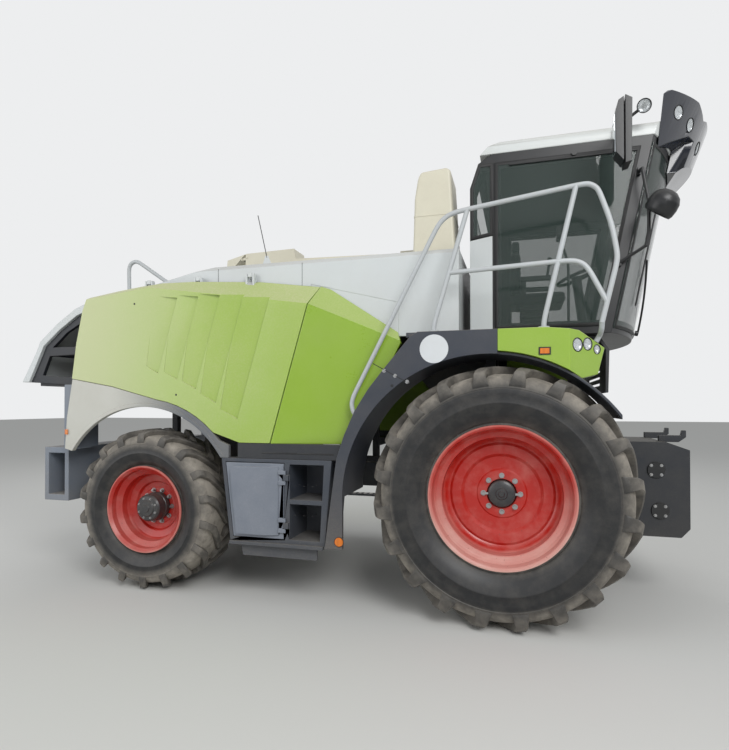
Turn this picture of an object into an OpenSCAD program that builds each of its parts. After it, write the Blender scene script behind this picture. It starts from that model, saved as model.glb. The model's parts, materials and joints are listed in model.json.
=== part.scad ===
// Self-propelled forage harvester, parked without a header, spout folded back along the deck.
// X runs forward, Y to the machine's left, Z up; the origin is on the ground under the middle.
// Outlines inside a module are measured from the front axle unless the module says otherwise.

/* [Overall] */
// Distance between the front and the rear axle
wheelbase = 3250; // [3150:10:3400]
// Reach of the roof visor ahead of the front axle
front_reach = 1790; // [1760:10:1860]
// Reach of the tail hood behind the rear axle
rear_reach = 1680; // [1660:10:1740]

/* [Front wheels] */
// Outer radius over the lugs of the front tyres
front_tyre_r = 1015; // [990:5:1020]
// Section width of the front tyres
front_tyre_w = 710; // [640:10:720]
// Distance from the middle plane to the middle of a front tyre
front_track_half = 1220; // [1215:5:1240]
// Bead seat radius of the front rims
front_seat_r = 533.4; // [500:1:540]
// Height of the front tyre lugs
front_lug_h = 58; // [40:1:65]
// Number of lugs on each side of a front tyre
front_lugs = 20; // [16:1:22]

/* [Rear wheels] */
// Outer radius over the lugs of the rear tyres
rear_tyre_r = 750; // [720:5:755]
// Section width of the rear tyres
rear_tyre_w = 600; // [540:10:600]
// Distance from the middle plane to the middle of a rear tyre when it points ahead
rear_track_half = 1170; // [1170:5:1190]
// Bead seat radius of the rear rims
rear_seat_r = 381; // [350:1:385]
// Height of the rear tyre lugs
rear_lug_h = 48; // [35:1:52]
// Number of lugs on each side of a rear tyre
rear_lugs = 18; // [14:1:20]
// Distance from the middle plane to the steering pivots
kingpin_y = 880; // [875:5:890]

/* [Chassis] */
// Width of each chassis rail
rail_w = 120; // [100:5:120]
// Height of each chassis rail
rail_h = 240; // [200:5:260]
// Height of the underside of the rails above the ground
rail_z = 900; // [880:5:920]
// Distance from the middle plane to the outer face of a rail
rail_y = 370; // [350:5:370]

/* [Body] */
// Distance from the middle plane to the face of the green side doors
door_y = 1450; // [1430:5:1460]
// Thickness of a side door's skin
skin = 40; // [36:1:45]
// Depth of the pleats pressed into the side doors
pleat_depth = 26; // [15:1:28]
// Distance from the middle plane to the white side walls
deck_y = 1250; // [1230:5:1255]
// Height of the white top deck above the ground
deck_z = 3035; // [3000:5:3060]
// Wall thickness of the white upper body
deck_wall = 30; // [25:1:40]
// Radius of the opening over each rear wheel
rear_arch_r = 972; // [960:2:980]
// Distance from the middle plane to the outer face of a front fender
fender_y = 1500; // [1490:5:1510]
// Height of the walkway on top of the front fenders
walk_z = 2310; // [2300:5:2320]
// Radius of the opening over each front wheel
front_arch_r = 1170; // [1165:1:1180]

/* [Cab] */
// Distance from the middle plane to the outer faces of the cab frame
cab_y = 1000; // [980:5:1005]
// Height of the cab frame above the ground
cab_top = 3880; // [3850:5:3900]
// Thickness of the cab frame
cab_wall = 45; // [40:1:50]
// Thickness of the window panes
glass = 8; // [6:1:10]
// Radius of the curved windscreen in plan
screen_r = 1870; // [1700:10:2200]
// Thickness of the white roof cap
roof_h = 125; // [110:1:140]

/* [Rails and tubes] */
// Radius of the handrail tubes
tube_r = 20; // [16:1:22]

/* [Feed housing] */
// Clear width between the feed housing's side plates
feed_w = 730; // [680:5:740]
// Radius of the lower feed roller
lower_roller_r = 130; // [115:1:135]
// Radius of the upper feed roller
upper_roller_r = 165; // [150:1:170]

/* [Spout] */
// Distance of the spout's turning axis behind the front axle
spout_back = 975; // [970:5:985]
// Outer width of the spout channel
spout_w = 300; // [260:5:300]
// Length of the spout from its lift pin to the flap's pin
spout_len = 1685; // [1600:10:1700]

/* [Hidden] */

$fn = 48;
fit = 0.3;
front_axle_x = (wheelbase + rear_reach - front_reach) / 2;
rear_axle_x = front_axle_x - wheelbase;
// Place of the rear axle measured from the front axle
rear_x = -wheelbase;
// Column names of the outline tables
AT_X = 0;
AT_Z = 1;

// Moves a piece drawn from the front axle, or from the rear axle, to its place on the machine
module at_front() translate([front_axle_x, 0, 0]) children();
module at_rear() translate([rear_axle_x, 0, 0]) children();

// Extrudes an outline drawn in X and Z across the machine from y_a to y_b
module across(y_a, y_b) translate([0, y_b, 0]) rotate([90, 0, 0]) linear_extrude(y_b - y_a) children();

// A box given by its two corners
module block(low, high) translate(low) cube(high - low);

// A round bar from a to b
module rod(a, b, r) {
    d = b - a;
    translate(a) rotate([0, acos(d[2] / norm(d)), atan2(d[1], d[0])]) cylinder(h = norm(d), r = r);
}

// A bent tube through a list of points, with a bead at each bend
module tube(points, r) {
    for (i = [0 : len(points) - 2]) rod(points[i], points[i + 1], r);
    for (i = [1 : len(points) - 2]) translate(points[i]) sphere(r + 1);
}

// Points of an arc in an outline
function arc(c, r, from, to, n) = [for (i = [0 : n]) c + r * [cos(from + (to - from)
    * i / n), sin(from + (to - from) * i / n)]];

// The left-hand piece of a pair whose right-hand piece is drawn at negative Y
module left_hand() mirror([0, 1, 0]) children();

// Wheels. A wheel is drawn about Z, with its outboard side up, then laid with that side to the right.

// Carcass outline: share of the section height, share of half the width
CARCASS = [[0, 0.76], [0.067, 0.76], [0.25, 0.896], [0.44, 0.986], [0.605, 1], [0.77, 0.972], [0.877, 0.915],
    [0.948, 0.817], [0.988, 0.563], [1, 0]];
// Lug envelope: distance below the tread as a share of the lug height, share of half the width
LUG_EDGE = [[0, 0], [0.05, 0.6], [0.26, 0.86], [0.78, 0.965], [1.65, 0.995], [2.75, 0.985]];
tyre_wall = 40;

module tyre(r, w, seat_r, lug_h, lugs) {
    half = w / 2;
    rise = r - lug_h - seat_r;
    outer = [for (p = CARCASS) [seat_r + fit + p[0] * rise, p[1] * half]];
    inner = [for (i = [len(CARCASS) - 1 : -1 : 0])
        [seat_r + fit + CARCASS[i][0] * (rise - tyre_wall), max(0, CARCASS[i][1] * half - tyre_wall)]];
    band = concat([for (p = LUG_EDGE) [r - p[0] * lug_h, p[1] * half]],
        [for (i = [5 : len(CARCASS) - 1])
            [seat_r + CARCASS[i][0] * rise - tyre_wall / 3, max(0, CARCASS[i][1] * half - tyre_wall / 3)]]);
    for (s = [0, 1]) mirror([0, 0, s]) {
        rotate_extrude() polygon(concat(outer, inner));
        intersection() {
            rotate_extrude() polygon(band);
            for (i = [0 : lugs - 1]) rotate([0, 0, (i + s / 2) * 360 / lugs]) lug(r, half, lug_h);
        }
    }
}

// One slanted lug bar, bent where it nears the shoulder
module lug(r, half, lug_h) {
    root = r - 3.3 * lug_h;
    run = half * 0.92;
    bar = half * 0.24;
    translate([root, 0, 0]) rotate([90, 0, 90]) linear_extrude(r - root + lug_h)
        polygon([[-run * 0.55, 4], [-run * 0.55 + bar, 4], [run * 0.2 + bar, half * 0.62],
            [run * 0.42 + bar, half + 15], [run * 0.42 - bar * 0.25, half + 15],
                [run * 0.2 - bar * 0.1, half * 0.66]]);
}

// A welded rim: flange_a is half the width over the flanges, disc_a the disc's place outboard of the middle
module rim(seat_r, flange_a, well_r, disc_a, step_r, hub_r, hub_out, bore_r, bore_a) {
    wall = 13;
    flange_r = seat_r + 25;
    lip = 14;
    rotate_extrude() polygon([
        [0, disc_a + hub_out], [hub_r - 22, disc_a + hub_out], [hub_r, disc_a + hub_out - 16],
            [hub_r + 4, disc_a],
        [step_r, disc_a], [step_r + 10, disc_a + 22], [well_r - 55, disc_a + 26], [well_r - 16, disc_a + 36],
        [well_r, disc_a + 62], [well_r + 3, flange_a - 108], [seat_r - wall, flange_a - 74],
        [seat_r - wall + 2, flange_a - 18], [flange_r - lip, flange_a], [flange_r, flange_a],
        [flange_r, flange_a - lip], [seat_r, flange_a - 22], [seat_r, flange_a - 78],
        [well_r + wall + 3, flange_a - 108], [well_r + wall, 108 - flange_a], [seat_r, 78 - flange_a],
        [seat_r, 22 - flange_a], [flange_r, lip - flange_a], [flange_r, -flange_a], [flange_r - lip, -flange_a],
        [seat_r - wall, 18 - flange_a], [seat_r - wall, 74 - flange_a], [well_r, 108 - flange_a],
        [well_r, disc_a - 26], [bore_r + 60, disc_a - 16], [bore_r + 60, bore_a - 60], [bore_r, bore_a - 60],
        [bore_r, bore_a], [0, bore_a]]);
}

// Lays a wheel drawn about Z on its axle, with its outboard side to the machine's right
module lay(y, z) translate([0, -y, z]) rotate([90, 0, 0]) children();

front_bore_r = 90;
front_bore_a = 10;
rear_bore_r = 60;
rear_bore_a = 20;

module front_rim() color("firebrick") lay(front_track_half, front_tyre_r)
    rim(front_seat_r, 0.38 * front_tyre_w + 22, front_seat_r - 75, 32, front_seat_r - 188, 122, 58,
        front_bore_r, front_bore_a);
module rear_rim() color("firebrick") lay(rear_track_half, rear_tyre_r)
    rim(rear_seat_r, 0.38 * rear_tyre_w + 44, rear_seat_r - 63, 42, rear_seat_r - 146, 135, 180,
        rear_bore_r, rear_bore_a);
module front_tyre() color("dimgray") lay(front_track_half, front_tyre_r)
    tyre(front_tyre_r, front_tyre_w, front_seat_r, front_lug_h, front_lugs);
module rear_tyre() color("dimgray") lay(rear_track_half, rear_tyre_r)
    tyre(rear_tyre_r, rear_tyre_w, rear_seat_r, rear_lug_h, rear_lugs);

module front_rim_right() at_front() front_rim();
module front_rim_left() at_front() left_hand() front_rim();
module front_tyre_right() at_front() front_tyre();
module front_tyre_left() at_front() left_hand() front_tyre();
module rear_rim_right() at_rear() rear_rim();
module rear_rim_left() at_rear() left_hand() rear_rim();
module rear_tyre_right() at_rear() rear_tyre();
module rear_tyre_left() at_rear() left_hand() rear_tyre();

// Axles

axle_box_x = 200;
drive_drum_r = 250;

// Drive axle: middle gearbox, tubes, hub drives and the spindles that carry the front wheels
module front_axle() color("dimgray") at_front() {
    block([-axle_box_x, -rail_y, front_tyre_r - 200], [axle_box_x, rail_y, front_tyre_r + 200]);
    for (s = [-1, 1]) {
        rod([0, s * (rail_y - 20), front_tyre_r], [0, s * 930, front_tyre_r], 140);
        rod([0, s * 925, front_tyre_r], [0, s * (front_track_half - 62), front_tyre_r], drive_drum_r);
        rod([0, s * (front_track_half - 70), front_tyre_r],
            [0, s * (front_track_half + front_bore_a - 4), front_tyre_r], front_bore_r - fit);
    }
}

kingpin_r = 32;
knuckle_gap = 4;
fork_h = 95;

// Steered axle: beam below the rails with a fork and an upright pivot bore at each end
module rear_axle() color("dimgray") at_rear() {
    difference() {
        union() {
            block([-85, -kingpin_y + 95, rear_tyre_r - 90], [85, kingpin_y - 95, rear_tyre_r + 90]);
            block([-140, -rail_y, rear_tyre_r + 85], [140, rail_y, rail_z]);
            for (s = [-1, 1], t = [-1, 1])
                translate([0, s * kingpin_y, rear_tyre_r + t * (fork_h + 20)]) {
                    cylinder(h = 40, r = 75, center = true);
                    block([-75, s > 0 ? -130 : 0, -20], [75, s > 0 ? 0 : 130, 20]);
                }
            for (s = [-1, 1])
                block([-75, s > 0 ? kingpin_y - 130 : -kingpin_y + 90, rear_tyre_r - fork_h - 40],
                    [75, s > 0 ? kingpin_y - 90 : -kingpin_y + 130, rear_tyre_r + fork_h + 40]);
        }
        for (s = [-1, 1]) translate([0, s * kingpin_y, 0]) cylinder(h = 2 * rear_tyre_r, r = kingpin_r + fit);
    }
}

// Steering knuckle with its pivot pin and the spindle that carries a rear wheel
module rear_knuckle() color("gray") at_rear() translate([0, -kingpin_y, rear_tyre_r]) {
    rod([0, 0, -fork_h - 40], [0, 0, fork_h + 40], kingpin_r);
    rod([0, 0, knuckle_gap - fork_h], [0, 0, fork_h - knuckle_gap], 70);
    rod([0, -20, 0], [0, kingpin_y - rear_track_half + 46, 0], 95);
    rod([0, -60, 0], [0, kingpin_y - rear_track_half - rear_bore_a + 4, 0], rear_bore_r - fit);
    // Arm that the steering cylinder pushes
    block([-230, -110, -40], [-60, -50, 0]);
}
module rear_knuckle_right() rear_knuckle();
module rear_knuckle_left() left_hand() rear_knuckle();

// Chassis

rail_front_x = -axle_box_x;
bumper_front_x = -1000;
post_w = 70;
// Upright posts that carry the upper body
front_post_x = -1500;
rear_post_x = rear_x - 450;
cant_z = deck_z - 385;
sill_z = 1260;
sill_h = 130;
// Height of the middle of the openings over the rear wheels
arch_z = rear_tyre_r - 12;

module chassis_frame() color("darkslategray") at_front() {
    tail_x = rear_x + bumper_front_x;
    for (s = [-1, 1]) {
        block([tail_x, s > 0 ? rail_y - rail_w : -rail_y, rail_z],
            [rail_front_x, s > 0 ? rail_y : rail_w - rail_y, rail_z + rail_h]);
        for (p = [[front_post_x, deck_z - deck_wall], [rear_post_x, cant_z + 70]])
            block([p[AT_X], s > 0 ? rail_y - post_w : -rail_y, rail_z + rail_h - 10],
                [p[AT_X] + post_w, s > 0 ? rail_y : post_w - rail_y, p[AT_Z]]);
        // Outrigger and sill under the side panels
        block([front_post_x, s > 0 ? rail_y - 10 : -door_y, sill_z],
            [front_post_x + post_w, s > 0 ? door_y : 10 - rail_y, sill_z + 90]);
        block([rear_x + 990, s > 0 ? door_y - 60 : -door_y, sill_z], [-1290, s > 0 ? door_y : 60 - door_y,
            sill_z + sill_h]);
        // Cant rail brackets up to the white side walls
        for (x = [front_post_x, rear_post_x])
            block([x, s > 0 ? rail_y - 10 : deck_wall - deck_y, cant_z],
                [x + post_w, s > 0 ? deck_y - deck_wall : 10 - rail_y, cant_z + 70]);
    }
    for (x = [tail_x + 60, rear_x + 850, -1300, rail_front_x - 160])
        block([x, -rail_y + rail_w - 10, rail_z + 40], [x + 100, rail_y - rail_w + 10, rail_z + 200]);
}

engine_x = rear_x + 20;
module engine_block() color("slategray") at_front()
    block([engine_x, -rail_y, rail_z + rail_h], [engine_x + 1100, rail_y, rail_z + rail_h + 950]);

// Closed duct from the chopping drum up to the spout's turning ring
duct_y = 240;
module crop_duct() color("gray") at_front() across(-duct_y, duct_y)
    polygon([[axle_box_x - 30, front_tyre_r + 200], [610, 1424], [760, 1424], [760, 1760], [320, 2000],
        [-560, 2240],
        [-spout_back + 240, deck_z - deck_wall], [-spout_back - 240, deck_z - deck_wall],
        [-spout_back - 260, 2480], [-axle_box_x, front_tyre_r + 200]]);

// Feed housing with two rollers

feed_plate = 40;
feed_low = front_tyre_r - 195;
feed_high = front_tyre_r + 195;
feed_front_x = 1570;
lower_roller_x = 1330;
lower_roller_z = 790;
upper_roller_x = 1300;
upper_roller_z = 1150;
roller_shaft_r = 30;
module feed_housing() color("darkslategray") at_front() {
    half = feed_w / 2;
    for (s = [-1, 1]) difference() {
        across(s > 0 ? half : -half - feed_plate, s > 0 ? half + feed_plate : -half)
            polygon([[axle_box_x, feed_low], [620, 560], [1500, 560], [feed_front_x, 640], [feed_front_x, 1330],
                [1380, 1400], [620, 1400], [axle_box_x, feed_high]]);
        for (p = [[lower_roller_x, lower_roller_z], [upper_roller_x, upper_roller_z]])
            translate([p[AT_X], 0, p[AT_Z]]) rotate([90, 0, 0])
                cylinder(h = 2 * feed_w, r = roller_shaft_r + fit, center = true);
    }
    across(-half - 5, half + 5) polygon([[axle_box_x, feed_low], [620, 560], [1480, 560], [1480, 600],
        [632, 600], [axle_box_x, feed_low + 47]]);
    across(-half - 5, half + 5) polygon([[axle_box_x, feed_high], [620, 1400], [1380, 1400],
        [1380, 1360], [628, 1360], [axle_box_x, feed_high - 47]]);
    block([axle_box_x, -half - 5, feed_low], [axle_box_x + 420, half + 5, feed_high]);
    // Coupling hooks for the header
    for (s = [-1, 1]) across(s * 300 - 25, s * 300 + 25)
        polygon([[1340, 1395], [1500, 1395], [1560, 1440], [1560, 1500], [1530, 1500], [1520, 1455],
            [1340, 1455]]);
}

// A feed roller with bars along it and a shaft through both side plates
module roller(r, bars) {
    half = feed_w / 2;
    rod([0, -half - feed_plate, 0], [0, half + feed_plate, 0], roller_shaft_r);
    rod([0, 8 - half, 0], [0, half - 8, 0], r - 22);
    for (i = [0 : bars - 1]) rotate([0, i * 360 / bars, 0])
        block([r - 30, 14 - half, -9], [r, half - 14, 9]);
}
module feed_roller_lower() color("silver") at_front() translate([lower_roller_x, 0, lower_roller_z])
    roller(lower_roller_r, 10);
module feed_roller_upper() color("silver") at_front() translate([upper_roller_x, 0, upper_roller_z])
    roller(upper_roller_r, 12);

// Side doors. The right-hand one is drawn, and the left-hand one is its mirror image.

// Lean of the seams that run down the side of the machine
seam_lean = 16.2;
fold_x = -1600;
fold_z = deck_z - 445;
hinge_y = 1292;
hinge_z = deck_z - 127;
hinge_pin_r = 12;
// Play of the hinge pins in their eyes
hinge_play = 0.9;
// Places of the three hinges
HINGES = [rear_x - 50, rear_x + 490, rear_x + 1030];
// Upper edge of the door where it meets the white wall
DOOR_TOP = [[rear_x - 644, deck_z - 258], [rear_x - 370, deck_z - 203], [rear_x - 96, deck_z - 170],
    [rear_x + 476, deck_z - 156], [rear_x + 1100, deck_z - 184]];
DOOR_REAR = [[rear_x - 820, 1985], [rear_x - 770, 2330], [rear_x - 700, deck_z - 395]];
door_low = sill_z + sill_h + 4;
panel_top = deck_z - 265;
// Pleats: front edge at the height of the fold measured from the fold, lower end, width
PLEATS = [[-1320, 2020, 190], [-1100, 1960, 208], [-878, 1870, 214], [-637, 1745, 232], [-377, 1600, 252]];
PLEAT_X = 0;
PLEAT_LOW = 1;
PLEAT_W = 2;
pleat_top = fold_z + 122;

function seam_x(x, z) = x + (z - fold_z) * tan(seam_lean);

// Half-space prisms that shape a side panel: x, z of a point on the edge, slope of the edge forwards and
// down, turn of the edge inwards, then how far the turned-in face runs in and up
module edge_prism(x, z, slope, turn, run_in, run_up) translate([x, -door_y, z]) rotate([0, 0, turn])
    rotate([0, slope, 0])
    rotate([90, 0, 90]) linear_extrude(8000, center = true)
        polygon([[0, -4000], [0, 0], [run_in, run_up], [run_in * 12, run_up * 12], [3000, -4000]]);

module door_bulk() intersection() {
    across(-door_y, 30 - hinge_y) polygon(concat(DOOR_REAR, DOOR_TOP, [[seam_x(fold_x - 6, panel_top),
        panel_top],
        [seam_x(fold_x - 6, door_low), door_low], [rear_x + 1005, door_low]],
        arc([rear_x, arch_z], rear_arch_r + 78, 45, 82, 6), [[rear_x - 350, 1905]]));
    edge_prism(fold_x, fold_z + 4, 8.3, 0, 170, 165);
    edge_prism(rear_x - 50, deck_z - 220, -6, 0, 170, 90);
}

module pleat_cuts() for (p = PLEATS) {
    low = p[PLEAT_LOW];
    front = fold_x + p[PLEAT_X];
    wide = p[PLEAT_W];
    intersection() {
        translate([front, -door_y, fold_z]) rotate([0, seam_lean, 0]) translate([0, 0, low - fold_z - 200])
            linear_extrude(3200 - low) polygon([[0, -8], [-wide, -8], [-wide, 0], [-8, pleat_depth], [0, 0]]);
        across(-door_y - 20, 0) polygon([[seam_x(front, low), low], [seam_x(front, pleat_top), pleat_top],
            [seam_x(front, pleat_top + 28) - wide - 60, pleat_top + 28],
            [seam_x(front, low) - wide * 0.68, low + wide * 0.36]]);
    }
}

module side_door() color("yellowgreen") at_front() {
    difference() {
        door_bulk();
        translate([0, skin, 0]) door_bulk();
        pleat_cuts();
    }
    for (x = HINGES) {
        rod([x - 42, -hinge_y, hinge_z], [x + 42, -hinge_y, hinge_z], hinge_pin_r);
        for (s = [-1, 1]) across(-hinge_y - 20, 16 - hinge_y) polygon([[x + s * 34 - 9, hinge_z - 93],
            [x + s * 34 + 9, hinge_z - 93], [x + s * 34 + 9, hinge_z + 16], [x + s * 34 - 9, hinge_z + 16]]);
    }
}
module side_door_right() side_door();
module side_door_left() left_hand() side_door();

// Fixed panel ahead of the door, folded inwards towards the cab
corner_turn = 10.5;
module corner_bulk() intersection() {
    across(-door_y, -deck_y - fit) polygon([[seam_x(fold_x + 4, sill_z + sill_h), sill_z + sill_h],
        [seam_x(fold_x + 4, panel_top + 2), panel_top + 2], [-936, deck_z - 448], [-820, walk_z - 60],
        [-1260, sill_z + sill_h]]);
    translate([fold_x, -door_y, fold_z]) rotate([0, seam_lean, 0]) linear_extrude(4000, center = true)
        polygon([[-90, 0], [0, 0], [1200, 1200 * tan(corner_turn)], [1200, 1500], [-90, 1500]]);
    edge_prism(fold_x, fold_z + 4, 23, corner_turn, 170, 210);
}
module corner_panel() color("yellowgreen") at_front() difference() {
    corner_bulk();
    translate([0, skin, 0]) corner_bulk();
}
module corner_panel_right() corner_panel();
module corner_panel_left() left_hand() corner_panel();

// Light trim round the opening over a rear wheel, measured from the rear axle
arch_lip = 10;
module rear_arch() color("silver") at_rear() {
    across(-door_y, skin - door_y) difference() {
        rear_arch_outline();
        translate([0, arch_z]) circle(rear_arch_r, $fn = 96);
    }
    // Rolled lip round the opening
    across(-door_y - arch_lip, 5 - door_y) intersection() {
        rear_arch_outline();
        difference() {
            translate([0, arch_z]) circle(rear_arch_r + 34, $fn = 96);
            translate([0, arch_z]) circle(rear_arch_r, $fn = 96);
        }
    }
}
module rear_arch_outline() polygon(concat([[-700, box_top], [-900, 1300], [-880, 1600], [-815, 1980],
    [-350, 1900]],
    arc([0, arch_z], rear_arch_r + 74, 82, 40, 6), [[900, 1370], [900, box_top]]));
module rear_arch_right() rear_arch();
module rear_arch_left() left_hand() rear_arch();

// White upper body: an open-bottomed shell

tail_joint_x = rear_x - 790;
tail_joint_z = deck_z - 240;
skirt_z = deck_z - 395;
deck_break_x = -2640;
deck_rear_x = rear_x - 480;
deck_rear_z = deck_z - 230;
// Slope of the deck behind the break, and its height at x
deck_fall = atan((deck_z - deck_rear_z) / (deck_break_x - deck_rear_x));
function deck_at(x) = deck_z - (deck_break_x - x) * tan(deck_fall);
module deck_side(inset) polygon([[-340 - inset, walk_z - (inset > 0 ? 50 : 0)], [-340 - inset, deck_z - inset],
    [deck_break_x, deck_z - inset], [deck_rear_x, deck_rear_z - inset], [tail_joint_x + inset,
        tail_joint_z - inset],
    [tail_joint_x + inset, skirt_z - (inset > 0 ? 50 : 0)], [-1700, skirt_z - (inset > 0 ? 50 : 0)],
    [-1640, deck_z - (inset > 0 ? 535 : 235)], [-850, deck_z - (inset > 0 ? 635 : 435)],
    [-850, walk_z - (inset > 0 ? 50 : 0)]]);
module upper_body() color("gainsboro") at_front() {
    difference() {
        across(-deck_y, deck_y) deck_side(0);
        across(deck_wall - deck_y, deck_y - deck_wall) deck_side(deck_wall);
        for (s = [-1, 1]) translate([0, s * deck_y, deck_z]) rotate([45, 0, 0])
            cube([9000, 60, 60], center = true);
    }
    for (s = [-1, 1], x = HINGES) difference() {
        across(s > 0 ? deck_y - 5 : -hinge_y - 22, s > 0 ? hinge_y + 22 : 5 - deck_y)
            polygon([[x - 22, hinge_z - 18], [x + 22, hinge_z - 18], [x + 22, hinge_z + 22],
                [x - 22, hinge_z + 22]]);
        rod([x - 60, s * hinge_y, hinge_z], [x + 60, s * hinge_y, hinge_z], hinge_pin_r + hinge_play);
    }
}

// Tail hood: curved skin that overhangs the rear end

hood_y = 1230;
tail_tip_x = -wheelbase - rear_reach;
HOOD = [[tail_joint_x, tail_joint_z], [rear_x - 1000, tail_joint_z - 80], [rear_x - 1230, tail_joint_z - 225],
    [tail_tip_x + 230, 2390], [tail_tip_x + 185, 2290], [tail_tip_x, 1970]];
HOOD_INSIDE = [[tail_tip_x + 90, 1970], [tail_tip_x + 240, 2262], [tail_tip_x + 280, 2345],
    [rear_x - 1200, tail_joint_z - 290], [rear_x - 980, tail_joint_z - 150], [tail_joint_x, tail_joint_z - 85]];
module tail_hood() color("gainsboro") at_front() across(-hood_y, hood_y) polygon(concat(HOOD, HOOD_INSIDE));

// Dark frame inside the tail hood: side cheeks with windows, cross bars and a bottom ledge
module tail_frame() color("darkslategray") at_front() {
    for (s = [-1, 1]) across(s > 0 ? hood_y - 70 : 30 - hood_y, s > 0 ? hood_y - 30 : 70 - hood_y)
        difference() {
        polygon(concat([[rear_x - 950, 1930], [tail_tip_x + 90, 1969]], [for (i = [1 : 4])
            HOOD_INSIDE[i] + [2, -2]],
            [[tail_joint_x - fit, tail_joint_z - 87], [tail_joint_x - fit, skirt_z + 20]]));
        polygon([[rear_x - 1000, 2010], [tail_tip_x + 240, 2040], [tail_tip_x + 330, 2240],
            [rear_x - 990, 2250]]);
        polygon([[rear_x - 930, 2330], [tail_tip_x + 370, 2330], [rear_x - 1130, skirt_z - 160],
            [rear_x - 900, skirt_z - 40]]);
    }
    block([tail_tip_x + 170, 70 - hood_y, 1930], [rear_x - 950, hood_y - 70, 1968]);
    for (p = [[tail_tip_x + 330, 2240], [rear_x - 980, skirt_z - 80]])
        block([p[AT_X], 60 - hood_y, p[AT_Z]], [p[AT_X] + 60, hood_y - 60, p[AT_Z] + 50]);
}

radiator_y = 1150;
radiator_x = rear_x - 780;
module radiator() color("dimgray") at_front() {
    difference() {
        block([radiator_x, -radiator_y, 1930], [radiator_x + 130, radiator_y, skirt_z]);
        for (s = [-1, 1]) block([radiator_x - 20, s > 0 ? 30 : 50 - radiator_y, 1980],
            [radiator_x + 40, s > 0 ? radiator_y - 50 : -30, skirt_z - 50]);
    }
    block([rear_x - 950 + fit, -radiator_y, 1930], [radiator_x, radiator_y, 1960]);
    for (i = [1 : 11], s = [-1, 1]) translate([radiator_x + 15, 0, 1980 + i * (skirt_z - 2030) / 12])
        block([0, s > 0 ? 25 : 45 - radiator_y, -8], [20, s > 0 ? radiator_y - 45 : -25, 8]);
}

// Rear bumper box across the ends of the rails, with uprights to the tail and a towing jaw
jaw_pin_r = 16;
jaw_x = rear_x - 1390;
jaw_z = 850;
bumper_x = rear_x - 1300;
module rear_bumper() color("darkgray") at_front() {
    difference() {
        block([bumper_x, -1300, 760], [bumper_x + 300, 1300, 1300]);
        for (s = [-1, 1]) block([bumper_x + 50, s > 0 ? 480 : -1360, 820],
            [bumper_x + 250, s > 0 ? 1360 : -480, 1240]);
    }
    for (s = [-1, 1]) {
        block([bumper_x + 250, s > 0 ? 1150 : -1300, 1290], [bumper_x + 440, s > 0 ? 1300 : -1150, 1340]);
        block([bumper_x + 350, s > 0 ? 1050 : -1410, 1300], [bumper_x + 440, s > 0 ? 1410 : -1050, 1930]);
    }
    difference() {
        block([jaw_x - 60, -70, jaw_z - 70], [bumper_x + 10, 70, jaw_z + 70]);
        block([jaw_x - 80, -80, jaw_z - 30], [bumper_x - 10, 80, jaw_z + 30]);
        translate([jaw_x, 0, jaw_z - 80]) cylinder(h = 160, r = jaw_pin_r);
    }
}

// Front fenders with the walkway, and the lamp pods that close them at the front

pod_x = -20;
arch_x = -100;
arch_c_z = 950;
fender_skin = 40;
module fender_right() color("dimgray") at_front() fender();
module fender_left() color("dimgray") at_front() left_hand() fender();
module fender() {
    across(-fender_y, fender_skin - fender_y) difference() {
        polygon([[arch_x - front_arch_r, 530], [-1425, 530], [-1323, 1277], [-1258, 1470], [-1166, 1675],
            [-1050, 1855],
            [-922, 2015], [-700, 2275], [-640, walk_z], [pod_x - fit, walk_z], [pod_x - fit, arch_c_z],
            [arch_x - front_arch_r, arch_c_z]]);
        translate([arch_x, arch_c_z]) circle(front_arch_r, $fn = 96);
    }
    // Wheel house behind and above the tyre
    across(fender_skin - fender_y - 2, -880) difference() {
        translate([arch_x, arch_c_z]) circle(front_arch_r + 20, $fn = 96);
        translate([arch_x, arch_c_z]) circle(front_arch_r, $fn = 96);
        translate([-1500, -600]) square([4000, 1560]);
        translate([860, 0]) square([1000, 3000]);
    }
    // Walkway
    block([-740, fender_skin - fender_y - 2, walk_z - 40], [pod_x - fit, -860, walk_z]);
}

pod_corner_x = 500;
module lamp_pod() difference() {
    intersection() {
        across(-fender_y, -1120) difference() {
            polygon([[pod_x, walk_z], [330, walk_z], [570, 2285], [770, 2165], [715, 1960], [500, 1900],
                [pod_x, 1900]]);
            translate([arch_x, arch_c_z]) circle(front_arch_r + 24, $fn = 96);
        }
        linear_extrude(4000) polygon([[pod_x, -fender_y], [pod_corner_x, -fender_y], [780, -1240],
            [780, -1000], [pod_x, -1000]]);
    }
    // Round lamp recesses in the slanted face
    for (p = [[80, 2175, 52], [185, 2185, 48], [285, 2150, 36]])
        translate([pod_corner_x, -fender_y, 0]) rotate([0, 0, atan2(260, 280)]) translate([p[0], 0, p[1]])
            rotate([90, 0, 0]) cylinder(h = 50, r = p[2], center = true);
}
module lamp_pod_right() color("yellowgreen") at_front() lamp_pod();
module lamp_pod_left() color("yellowgreen") at_front() left_hand() lamp_pod();

// Storage box on the right with its door and the open compartments ahead of it

box_low = 530;
box_top = sill_z - 2;
box_rear_x = rear_x + 830;
box_front_x = -1440;
box_door_x = -1800;
box_in = 1000;
// Radius about the right steering pivot that the steered rear tyre needs
swing_r = 980;
box_hinge_x = box_door_x - 3;
box_hinge_y = door_y + 12;
box_hinge_r = 6;
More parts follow.
